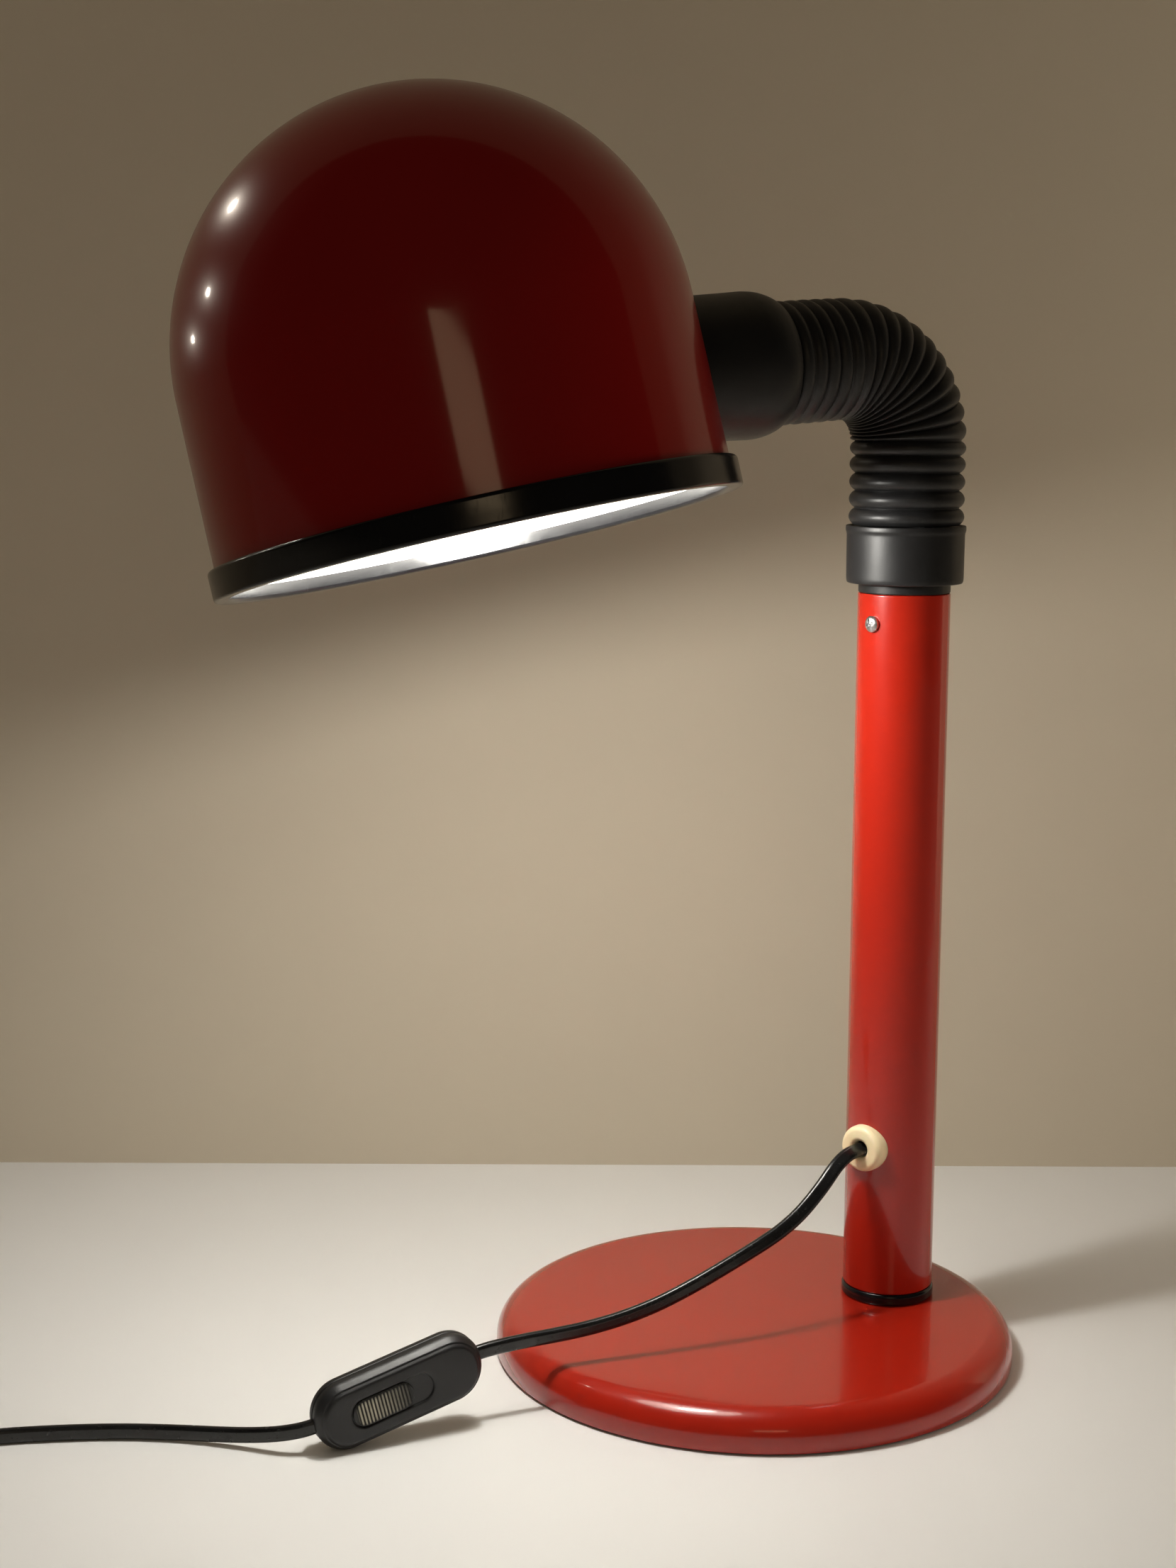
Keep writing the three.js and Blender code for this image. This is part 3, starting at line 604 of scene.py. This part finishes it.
def ribbed_tube(name, s0, s1):
    """Rows at s0..s1 along the neck's line, columns round it. The wall goes up outside and comes
    back down inside, 1.5 mm under the grooves, so the length is a closed shell."""
    s = np.linspace(s0, s1, int((s1 - s0) * 3.2) + 2)
    phase, _ = rib_phase(s)
    bulge = np.abs(np.sin(np.pi * phase)) ** 0.6
    pulled_out = np.clip((NECK_UP + 18 - s) / 24, 0, 1)
    depth = RIB_SHALLOW + (RIB_DEEP - RIB_SHALLOW) * pulled_out
    swell = 0.7 * np.clip((s - NECK_UP - 20) / 50, 0, 1)
    outer = RIB_TOP + swell - depth * (1 - bulge)
    radius = np.concatenate([outer, np.full_like(s, RIB_TOP - RIB_DEEP - 1.5)])[:, None]
    s = np.concatenate([s, s[::-1]])
    centre, b = neck_line(s)
    a = np.linspace(0, 2 * np.pi, RIB_COLUMNS, endpoint=False)[None]
    across = np.stack([np.cos(b), np.zeros_like(b), np.sin(b)], -1)[:, None]
    level = np.array([0, 1.0, 0])[None, None]
    points = (centre[:, None] + across * (radius * np.cos(a))[..., None]
              + level * (radius * np.sin(a))[..., None])
    return surface(name, points * MM, closed_rows=True, sharp=70)


STEP = NECK_ARC / 4
BENDS = [NECK_UP + STEP * (i + 0.5) for i in range(4)]
TURN_AT = NECK_UP + NECK_ARC + 15
hinges = [12.0, *BENDS, TURN_AT]
splits = [0.15, 27.0] + [NECK_UP + STEP * i for i in (1, 2, 3)] + [96.0, NECK_LENGTH - 0.1]
for i, hinge in enumerate(hinges):
    sleeve = ribbed_tube(f"bellows_{i + 1}", splits[i], splits[i + 1])
    sleeve.data.materials.append(BELLOWS)
    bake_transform(sleeve)
    links = ["neck_link_0", "neck_link_1"] if i == 0 else [f"neck_link_{i + 1}"]
    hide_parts(*links)
print("ribs:", rib_phase(0)[1])

# %% [markdown]
# ## The shade
# The shade is a spun dome on a straight skirt, red outside and white inside. The skin is one
# grid from the top of the dome, down the skirt, round the lower edge and back up the inside, and
# the faces inside get the white enamel. The black ring that finishes the rim has a U section.
# %% Shade
SHADE_R, SKIRT, SKIN = 101.6, 76.4, 1.2


def shade_profile(grow, bottom):
    """The dome as a quarter circle, then the skirt, which flares by 0.4 mm to its foot."""
    dome = arc(0, SKIRT, SHADE_R + grow, 90, 0, 64)
    z = np.linspace(SKIRT, bottom, 26)[1:]
    return np.concatenate([dome, np.stack([SHADE_R + grow + 0.4 * (1 - z / SKIRT), z], -1)])


outside = shade_profile(0, 2.2)
inside = shade_profile(-SKIN, 2.2)[::-1]
skin = np.concatenate([outside, inside])
shade = lathe("shade_dome", skin, SHADE, sides=256, closed=False, sharp=60)
# The red outside is the darkened copy of the post's paint, which is painted shade.
shade.data.materials.append(LAMPSHADE_RED_PAINTED_SHADE)
shade.data.materials.append(WHITE_ENAMEL)
face_centres = np.zeros(len(shade.data.polygons) * 3)
shade.data.polygons.foreach_get("center", face_centres)
to_shade = np.linalg.inv(SHADE)
local = face_centres.reshape(-1, 3) / MM @ to_shade[:3, :3].T + to_shade[:3, 3]
out_from = np.where(local[:, 2] > SKIRT, np.hypot(np.hypot(local[:, 0], local[:, 1]),
                    local[:, 2] - SKIRT), np.hypot(local[:, 0], local[:, 1]))
shade.data.polygons.foreach_set("material_index", (out_from < SHADE_R - SKIN / 2).astype(int))
dress(shade, LAMPSHADE_RED_PAINTED_SHADE, "head", "shade_paint", "shade")
rim = lathe("rim_trim", rounded([
    (98.6, 6.0, 0), (98.6, 0.9, 0.9), (99.8, 0.0, 0.9), (102.0, 0, 2.4), (104.9, 0, 2.8),
    (104.9, 3.2, 2.0), (104.9, 11.0, 1.2), (104.1, 12.0, 0.8), (102.5, 12.0, 0.3),
    (102.3, 1.7, 0), (100.2, 1.7, 0), (100.2, 6.0, 0.4)], 6), SHADE, sides=256, sharp=60)
dress(rim, BLACK_GLOSS, "head", "black_gloss", "rim_ring")
print("shade height", SKIRT + SHADE_R, "mm")


# %% [markdown]
# ## The cuff
# The cuff swells from the neck over a blunt shoulder and runs straight to the shade. Its end
# must follow the dome, so for every direction round the cuff the distance to the dome is found
# by halving an interval until the point lies on the shade's surface.
# %% Cuff
def above_shade(points):
    """Distance in mm of head-frame points outside the shade's skin, negative inside."""
    m = np.linalg.inv(SHADE) @ HEAD
    p = points @ m[:3, :3].T + m[:3, 3]
    level = np.hypot(p[..., 0], p[..., 1])
    return np.where(p[..., 2] > SKIRT, np.hypot(level, p[..., 2] - SKIRT), level) - SHADE_R


def wall_distance(radius, a):
    """For each angle, the height along the cuff at which a cylinder meets the shade."""
    low, high = np.full_like(a, 20.0), np.full_like(a, 100.0)
    for _ in range(30):
        middle = (low + high) / 2
        outside = above_shade(np.stack([radius * np.cos(a), radius * np.sin(a), middle], -1)) > 0
        low, high = np.where(outside, middle, low), np.where(outside, high, middle)
    return low


def cuff_grid(columns=160):
    """Rows: from the neck's hole, over the shoulder, along to the shade and back inside."""
    a = np.linspace(0, 2 * np.pi, columns, endpoint=False)
    shoulder = rounded([(7, 0.3, 0), (24.2, 0.3, 1.2), (26.2, 1.4, 1.2), (28.2, 4.6, 3),
                        (29.7, 9.0, 4), (30.3, 14, 4), (30.0, 22, 0)], 7)
    rows = [np.stack([r * np.cos(a), r * np.sin(a), np.full_like(a, z)], -1) for r, z in shoulder]
    for radius, start, end, steps in ((29.4, 0.0, 1.0, 12), (27.2, 1.0, 0.0, 6)):
        wall = wall_distance(radius, a) + 0.3
        for t in np.linspace(start, end, steps + 1)[0 if radius < 29 else 1:]:
            z = 22 + (wall - 22) * t
            r = radius + (0.6 * (1 - t) if radius > 29 else 0)
            rows.append(np.stack([r * np.cos(a), r * np.sin(a), z], -1))
    for r, z in ((26.0, 11), (22.0, 3.0), (7, 3.0)):
        rows.append(np.stack([r * np.cos(a), r * np.sin(a), np.full_like(a, z)], -1))
    return np.array(rows)


cuff = surface("cuff_moulded", moved(cuff_grid(), HEAD), closed_rows=True, sharp=50)
dress(cuff, BLACK_SATIN, "head", "black_satin", "cuff")
print("cuff faces", len(cuff.data.polygons))

# %% [markdown]
# ## Lampholder and bulb
# Seen from below, a black lampholder comes through the shade's wall and is clamped by a ring
# with grips round its edge. The bulb's screw cap has a rolled thread: each column's profile is
# the same wave shifted by its angle. The frosted bulb is one outline of arcs, and it is lit.
# %% Lampholder
skirt = lathe("lampholder_skirt", rounded([
    (14.6, 36.8, 0), (20.2, 36.8, 0.8), (20.2, 70, 2), (18.6, 79, 3), (17.2, 80, 0.5),
    (16.2, 79.6, 0.4), (16.2, 45, 0.5), (14.6, 45, 0)], 5), HEAD, sides=96)
dress(skirt, BLACK_SATIN, "head", "black_satin", "holder_skirt")


def gripped_ring(name, inner, outer, z0, z1, grips, place):
    """A ring whose outside radius dips by 0.9 mm between its grips: R - 0.9 |cos(n a)|^6."""
    a = np.linspace(0, 2 * np.pi, grips * 10, endpoint=False)
    dip = 0.9 * np.abs(np.cos(grips * a / 2)) ** 6
    outline = rounded([(inner, z0, 0), (outer, z0, 0.8), (outer, z1, 1.4), (inner, z1, 0.5)])
    r, z = outline[:, :1], np.repeat(outline[:, 1:], a.size, 1)
    radius = r - dip * (r > (inner + outer) / 2)
    points = np.stack([radius * np.cos(a), radius * np.sin(a), z], -1)
    return surface(name, moved(points, place), closed_rows=True)


nut = gripped_ring("shade_clamp_ring", 20.6, 28, 53.2, 60, 18, HEAD)
dress(nut, BLACK_SATIN, "head", "black_satin", "holder_nut")


def threaded_cap(name, place):
    """Radius 13 + 0.5 sin(angle - 2 pi z / 3.6): a thread with a 3.6 mm pitch."""
    a = np.linspace(0, 2 * np.pi, 64, endpoint=False)[None]
    z = np.linspace(52, 72, 80)[:, None]
    fade = np.clip((z - 52) / 2, 0, 1) * np.clip((72 - z) / 2, 0, 1)
    r = 13 + 0.5 * fade * np.sin(a - 2 * np.pi * z / 3.6)
    body = np.stack([r * np.cos(a), r * np.sin(a), z + 0 * a], -1)
    ends = [np.stack([k * np.cos(a[0]), k * np.sin(a[0]), np.full(64, h)], -1)
            for k, h in ((0, 47), (5, 47), (8, 50.4), (12, 51.2))]
    top = [np.stack([k * np.cos(a[0]), k * np.sin(a[0]), np.full(64, h)], -1)
           for k, h in ((13.4, 74), (12, 75.4), (0, 75.4))]
    return surface(name, moved(np.concatenate([np.array(ends), body, np.array(top)]), place))


dress(threaded_cap("bulb_screw_cap", HEAD), BRIGHT_STEEL, "head", "steel", "bulb_cap")
bulb_outline = np.concatenate([
    [[0, 75.6], [12.6, 75.6]],
    rounded([(13.2, 76.5, 0), (14.2, 84, 6), (21.5, 97, 12), (27.6, 114, 0)], 8),
    arc(0, 128, 30, -22, 90, 28)])
bulb = lathe("bulb_frosted", bulb_outline, HEAD, sides=96, closed=False, sharp=50)
dress(bulb, FROSTED, "head", "bulb", "bulb_glass")
print("bulb faces", len(bulb.data.polygons))


# %% [markdown]
# ## The inline switch
# Two moulded halves meet in a fine line round a rounded bar. Each half is a family of nested
# outlines: a rounded rectangle drawn in by an inset while the height follows a profile, with a
# narrow step that gives the upper edge its double line. The front's innermost outline becomes
# the oval recess of the slider.
# %% Switch halves
SWITCH_L, SWITCH_W, SWITCH_T, CORNER = 74, 29, 15.4, 14.0
RECESS_X, RECESS_L, RECESS_W, RECESS_DEEP = -4.5, 37.5, 13.4, 0.9


def rounded_bar(length, width, radius, count=160):
    """A rounded rectangle as count points at even angles: straight sides and circle corners."""
    a = np.linspace(0, 2 * np.pi, count, endpoint=False)
    half_x, half_y = length / 2 - radius, width / 2 - radius
    cx, cy = np.sign(np.cos(a)) * half_x, np.sign(np.sin(a)) * half_y
    bias = np.arctan2(np.sin(a) * length / width, np.cos(a))
    return np.stack([cx + radius * np.cos(bias), cy + radius * np.sin(bias)], -1)


def nested(profile, side):
    """One outline for each (inset, height) of the profile, on the side +1 or -1 of the joint."""
    rows = []
    for inset, height in profile:
        ring = rounded_bar(SWITCH_L - 2 * inset, SWITCH_W - 2 * inset, max(CORNER - inset, 0.5))
        rows.append(np.column_stack([ring, np.full(len(ring), side * height)]))
    return rows


def flat_rows(ring, height, *scales):
    return [np.column_stack([ring * k, np.full(len(ring), height)]) for k in scales]


HALF = SWITCH_T / 2
bevel = rounded([(0.5, 0.12, 0), (0.0, 0.5, 0.3), (0.0, 3.2, 1.6), (1.9, 6.2, 0.5),
                 (2.5, 6.35, 0.2), (3.6, HALF - 0.1, 0.8), (5.2, HALF, 0)], 5)
outer_rows = nested(bevel, 1)
lip = rounded_bar(RECESS_L, RECESS_W, RECESS_W / 2 - 0.1) + (RECESS_X, 0)
inner_edge = outer_rows[-1][:, :2]
front_rows = outer_rows + [
    np.column_stack([inner_edge + (lip - inner_edge) * t, np.full(len(lip), HALF)])
    for t in (0.3, 0.6, 0.85)]
for inset, height in ((0.0, HALF), (0.35, HALF - 0.12), (0.6, HALF - 0.4),
                      (0.8, HALF - RECESS_DEEP)):
    ring = rounded_bar(RECESS_L - 2 * inset, RECESS_W - 2 * inset, RECESS_W / 2 - 0.1 - inset)
    front_rows.append(np.column_stack([ring + (RECESS_X, 0), np.full(len(ring), height)]))
floor_ring = rounded_bar(RECESS_L - 3, RECESS_W - 3, RECESS_W / 2 - 1.6)
for k in (0.6, 0.2, 0.0):
    front_rows.append(np.column_stack([floor_ring * (k, k) + (RECESS_X, 0),
                                       np.full(len(floor_ring), HALF - RECESS_DEEP)]))
under = nested([(0.6, 0.12), (3, 0.12)], 1)[::-1]
middle = flat_rows(under[0][:, :2], 0.12, 0.0)
front = surface("switch_front_moulded", moved(np.array(middle + under + front_rows), SWITCH),
                sharp=50)
dress(front, BLACK_SATIN, "stand", "black_satin", "switch_front")

back_bevel = rounded([(0.5, 0.12, 0), (0.0, 0.5, 0.3), (0.0, 3.2, 1.6), (2.6, HALF - 1.2, 1.2),
                      (5.0, HALF, 0)], 5)
back_rows = nested(back_bevel, -1)
back_rows += flat_rows(back_rows[-1][:, :2], -HALF, 0.7, 0.35, 0.0)
under = nested([(0.6, 0.12), (3, 0.12)], -1)[::-1]
middle = flat_rows(under[0][:, :2], -0.12, 0.0)
back = surface("switch_back_moulded", moved(np.array(middle + under + back_rows), SWITCH),
               sharp=50)
dress(back, BLACK_SATIN, "stand", "black_satin", "switch_back")
print("switch", SWITCH_L, "x", SWITCH_W, "x", SWITCH_T, "mm")

# %% [markdown]
# The slider is a rounded bar with fine ribs across it. Each station along its length is one
# closed loop, so the ribs are a wave in the loop's top. Thumbs have worn the ribs pale towards
# one end, which a mask adds over the black: near a point, and only on the high parts.
# %% Slider
SLIDER_L, SLIDER_W, RIBS = 27.0, 11.5, 16
SLIDER_X = RECESS_X - (RECESS_L - SLIDER_L) / 2 + 1.25


def ribbed_slider(name, place):
    """Height over the switch's face = -0.35 + e (0.3 + 0.55 |cos(pi n x / L)|^1.2), where
    e = sqrt(1 - (y/w)^6) rounds the long edges; the wave is kept to the ribbed middle."""
    x = SLIDER_L / 2 * np.sin(np.linspace(-np.pi / 2, np.pi / 2, 281))[:, None]
    r = SLIDER_W / 2
    beyond = np.clip(np.abs(x) - (SLIDER_L / 2 - r), 0, r)
    half = np.sqrt(np.maximum(r ** 2 - beyond ** 2, 0.0))
    v = np.linspace(-1, 1, 15)[None]
    ribbed = np.clip((SLIDER_L / 2 - 1.6 - np.abs(x)) / 0.5, 0, 1)
    rib = 0.55 * ribbed * np.abs(np.cos(np.pi * RIBS * x / (SLIDER_L - 3.2))) ** 1.2
    edge = np.sqrt(np.clip(1 - np.abs(v) ** 6, 0, 1))
    top = HALF - 0.35 + rib * edge + 0.3 * edge + 0 * v
    upper = np.stack([x + 0 * v, half * v, top], -1)
    lower = np.stack([x + 0 * v, half * v[:, ::-1], np.full_like(top, HALF - RECESS_DEEP + 0.05)], -1)
    return surface(name, moved(np.concatenate([upper, lower], 1) + (SLIDER_X, 0, 0), place),
                   sharp=32)


SLIDER_MAT = finish("slider_worn_plastic", (0.008, 0.008, 0.008), (0.014, 0.014, 0.014),
                    (0.4, 0.55), 300.0, bump=(1600.0, 0.00002))


def wear(material, centre, reach, colour, height):
    """Pale rub marks: they fade with the distance from a point, keep to the high parts of the
    piece and are thinned a little by clouds, mixed over the colour that is there already."""
    tree = material.node_tree
    shader = tree.nodes["Principled BSDF"]
    old = shader.inputs["Base Color"].links[0].from_socket
    place = node(tree, "TexCoord").outputs["Object"]
    away = node(tree, "VectorMath", {0: place}, operation="DISTANCE")
    away.inputs[1].default_value = centre
    near = node(tree, "MapRange", {"Value": away.outputs["Value"]}, From_Min=reach,
                From_Max=reach * 0.25)
    face = node(tree, "SeparateXYZ", {"Vector": place})
    high = node(tree, "MapRange", {"Value": face.outputs["Y"]}, From_Min=height[0],
                From_Max=height[1])
    cloudy = use(tree, MOTTLE, 300.0, 1.0)
    patches = node(tree, "MapRange", {"Value": cloudy}, To_Min=0.6, To_Max=1.0).outputs[0]
    mask = node(tree, "Math", {0: near.outputs[0], 1: high.outputs[0]}, operation="MULTIPLY")
    mask = node(tree, "Math", {0: mask.outputs[0], 1: patches}, operation="MULTIPLY")
    tree.links.new(blend_colour(tree, mask.outputs[0], old, colour), shader.inputs["Base Color"])


slider = ribbed_slider("slider_ribbed", SWITCH)
PALE_WEAR, WEAR_REACH = (0.46, 0.43, 0.34), 0.023
face_y = SWITCH[1, 3] * MM - HALF * MM
wear(SLIDER_MAT, tuple(moved(np.array([[SLIDER_X - 9.5, -1, HALF]]), SWITCH)[0]), WEAR_REACH,
     PALE_WEAR, (face_y - 0.12 * MM, face_y - 0.42 * MM))
dress(slider, SLIDER_MAT, "slider", "black_satin", "switch_slider")
for i, (side, node_name) in enumerate(((-1, "switch_screw_a"), (1, "switch_screw_b"))):
    head = cross_head(f"switch_screw_head_{i + 1}", 2.7, 1.2,
                      SWITCH @ shift(27 * side, 0, 0) @ turn("X", 180), HALF - 0.2)
    dress(head, BRIGHT_STEEL, "stand", "steel", node_name)
print("slider", SLIDER_L, "x", SLIDER_W, "mm with", RIBS, "ribs")

# %% [markdown]
# ## The plug and the coil's tie
# A flat two-pin plug lies beside the coil. Its body is lofted: at each station along it a
# superellipse gets the plug's half width and half thickness there. A ribbed sleeve protects the
# cord behind it, and a wire tie holds the coil.
# %% Plug
PLUG = shift(-396, 149.4, 7.1) @ turn("Z", 45)


def ease(x, a, b):
    t = np.clip((x - a) / (b - a), 0, 1)
    return t * t * (3 - 2 * t)


def plug_body(name, place):
    """|y/w|^n + |z/t|^n = 1 with w, t functions of x; n rises from 2 at the cord to 5."""
    x = np.concatenate([np.linspace(0.4, 35.2, 90), [35.7, 35.95]])[:, None]
    a = np.linspace(0, 2 * np.pi, 96, endpoint=False)[None]
    w = 4.6 + 3.2 * ease(x, 0, 10) + 9.8 * ease(x, 12, 27) - 0.5 * ease(x, 35, 36)
    t = 3.5 + 0.9 * ease(x, 0, 8) + 2.2 * ease(x, 8, 24) - 0.5 * ease(x, 35, 36)
    n = 2 + 2.5 * ease(x, 6, 24)
    y = w * np.sign(np.sin(a)) * np.abs(np.sin(a)) ** (2 / n)
    z = t * np.sign(np.cos(a)) * np.abs(np.cos(a)) ** (2 / n)
    points = np.stack([x + 0 * a, y, z], -1)
    return surface(name, moved(capped(points), place), sharp=60)


dress(plug_body("plug_moulded", PLUG), BLACK_SATIN, "stand", "black_satin", "plug_body")
for side, node_name in ((-1, "plug_pin_a"), (1, "plug_pin_b")):
    pin = lathe(f"plug_{node_name[5:]}_turned", rounded([
        (0, 36.2, 0), (2.4, 36.2, 0.2), (2.4, 36.9, 0.2), (2.0, 37.1, 0.1), (2.0, 53.6, 1.2),
        (0, 55.2, 0)], 6), PLUG @ shift(0, 9.5 * side, 0) @ turn("Y", 90), 40, closed=False)
    dress(pin, BRASS, "stand", "brass", node_name)
sleeve_line = cord_line[-16:]
along = np.linspace(0, 1, len(sleeve_line) * 6)
at = np.linspace(0, len(sleeve_line) - 1, along.size)
sleeve_line = np.stack([np.interp(at, np.arange(len(sleeve_line)), sleeve_line[:, i])
                        for i in range(3)], -1)
swell = 1.06 + 0.22 * along - 0.06 * (np.cos(2 * np.pi * along * 7) > 0.3)
relief = surface("plug_strain_relief", capped(swept(
    sleeve_line, flat_section(), np.full(along.size, lazy_twist[-1]), swell)) * MM, sharp=40)
dress(relief, BLACK_SATIN, "stand", "black_satin")
print("strain relief rows", along.size)


# %% [markdown]
# A coil of flex is sold and stored with a flat wire tie round it. It is a thin closed band: one
# rounded outline outside and a smaller one inside, each drawn at both edges of the band.
# %% Coil tie
def wire_tie(name, angle):
    """A flat band wrapped round the coil's section: a rounded rectangle in the plane through the
    coil's axis, 4 mm wide."""
    ring = rounded_bar(COIL_OUT - COIL_IN + 9.2, 14.6, 3.4, 72)
    middle = (COIL_OUT + COIL_IN) / 2
    inner = ring * (1 - 0.9 / np.abs(ring).max())
    rows = []
    for outline, across in ((ring, -2.0), (ring, 2.0), (inner, 2.0), (inner, -2.0)):
        rows.append(np.stack([middle + outline[:, 0], np.full(72, across),
                              6.85 + outline[:, 1]], -1))
    place = shift(COIL_X, COIL_Y, 0) @ turn("Z", angle)
    grid = moved(np.array(rows), place)
    grid[..., 2] = np.maximum(grid[..., 2], 0.00002)
    return surface(name, grid, closed_rows=True, sharp=40)


tie = wire_tie("coil_tie", 30)
dress(tie, BLACK_SATIN, "stand", "cable")
print("tie faces", len(tie.data.polygons))

# %% [markdown]
# ## Finishes for the hidden pieces
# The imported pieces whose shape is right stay. Most sit inside the base, the post or the cuff.
# Each gets the finish of its real material.
# %% Hidden pieces
KEPT = {
    "base_weight": CAST_IRON, "base_bolt": BRIGHT_STEEL, "base_bolt_nut": BRIGHT_STEEL,
    "base_bolt_washer": BRIGHT_STEEL, "post_foot_plate": BRIGHT_STEEL, "inner_lead": CABLE,
    "head_lead": CABLE, "holder_cap": BLACK_SATIN, "holder_insert": PORCELAIN,
    "holder_contact": BRASS}
for name, material in KEPT.items():
    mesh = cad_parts[name].data
    mesh.materials.clear()
    mesh.materials.append(material)
print("kept pieces:", len(KEPT))

# %% [markdown]
# ## Stage and light
# A pale table runs to a plain warm wall. The wall's back is clear, so that the lamp can be seen
# from behind too. Both are sheets big enough that their ends stay far from the lamp.
# %% Table and wall
def plain(name, colour, rough, see_through=False):
    """A matt stage material with faint clouds; see_through clears the faces turned away."""
    material = finish(name, tuple(c * 0.96 for c in colour), colour, rough, 3.0,
                      bump=(60.0, 0.00002))
    if see_through:
        tree = material.node_tree
        clear = node(tree, "BsdfTransparent")
        back = node(tree, "NewGeometry").outputs["Backfacing"]
        mix = node(tree, "MixShader", {0: back, 1: tree.nodes["Principled BSDF"].outputs[0],
                                       2: clear.outputs[0]})
        tree.links.new(mix.outputs[0], tree.nodes["Material Output"].inputs["Surface"])
    return material


def sheet_of(name, corners, material):
    mesh = bpy.data.meshes.new(name)
    mesh.from_pydata(corners, [], [tuple(range(len(corners)))])
    mesh.materials.append(material)
    obj = bpy.data.objects.new(name, mesh)
    scene.collection.objects.link(obj)
    return obj


WALL_AT, REACH, WALL_H = np.array([0.046, 0.2585]), 4, 3
WALL_DIR, WALL_ALONG = np.array([0.4475, 0.8943]), np.array([0.8943, -0.4475])
left, right, near = WALL_AT - REACH * WALL_ALONG, WALL_AT + REACH * WALL_ALONG, REACH * WALL_DIR
sheet_of("table", [(*(left - near), 0), (*(right - near), 0), (*(right + near), 0),
                   (*(left + near), 0)], plain("table_white", (0.80, 0.80, 0.79), (0.4, 0.5)))
sheet_of("wall", [(*left, 0), (*right, 0), (*right, WALL_H), (*left, WALL_H)],
         plain("wall_warm", (0.52, 0.46, 0.36), (0.8, 0.9), see_through=True))
print("table and wall reach", REACH, "m each way")


# %% [markdown]
# The lamp is lit, so its own light is the key: a small point light beside the bulb stands for
# the filament and gives crisp shadows, and it rides on the head. One soft panel in front draws
# the long reflection on the shade, three small ones make its highlights, one washes the wall
# without a reflection, and the room adds a low even fill that gloss doesn't mirror.
# %% Lights
def panel(name, centre, target, size, power, colour, spread=180, gloss=True):
    """A soft rectangular light that faces a target point, with or without a reflection."""
    light = bpy.data.lights.new(name, "AREA")
    light.shape, light.size, light.size_y = "RECTANGLE", *size
    light.energy, light.color, light.spread = power, colour, math.radians(spread)
    obj = bpy.data.objects.new(name, light)
    away = np.array(target) - np.array(centre)
    obj.matrix_world = camera_matrix(centre, away, (0.01, 0.02, 1))
    obj.visible_camera, obj.visible_glossy = False, gloss
    scene.collection.objects.link(obj)
    return obj


panel("soft_front", (-0.81, -1.94, 0.90), (-0.185, -0.106, 0.417), (0.52, 0.26), 0.8,
      (1.0, 0.74, 0.44))
GLINTS = (((-0.445, 0.467, 0.763), (-0.2394, -0.0232, 0.4849), 0.024, 0.05),
          ((-0.55, 0.345, 0.567), (-0.2505, -0.0268, 0.4539), 0.014, 0.016),
          ((-0.50, 0.395, 0.463), (-0.2538, -0.0183, 0.4376), 0.010, 0.008))
for i, (place, target, size, power) in enumerate(GLINTS):
    panel(f"glint_{i + 1}", place, target, (size, size), power, (1.0, 0.9, 0.76), 60)
BULB_CLEARANCE = 0.052
filament = bpy.data.lights.new("filament", "POINT")
filament.energy, filament.color, filament.shadow_soft_size = 2.35, (1.0, 0.97, 0.91), 0.015
glow = bpy.data.objects.new("filament", filament)
bulb_middle = moved(np.array([[0, 0, 122]]), HEAD)[0]
towards_rim = np.mean(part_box("rim_ring"), axis=0) - bulb_middle
glow.location = bulb_middle + BULB_CLEARANCE * towards_rim / np.linalg.norm(towards_rim)
glow.visible_camera = False
scene.collection.objects.link(glow)
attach(glow, "head")
print("light inside the shade at", np.round(glow.location, 3))
panel("wall_wash", (0.85, -0.35, 0.15), (0.32, 0.10, 0.40), (0.4, 0.4), 1.6, (1.0, 0.9, 0.76),
      110, gloss=False)
world = bpy.data.worlds.new("room")
world.use_nodes = True
fill = world.node_tree.nodes["Background"].inputs
fill["Color"].default_value, fill["Strength"].default_value = (0.42, 0.36, 0.28, 1), 0.5
scene.world = world
world.cycles_visibility.glossy = False
scene.view_settings.view_transform = "Standard"
print("stage ready")
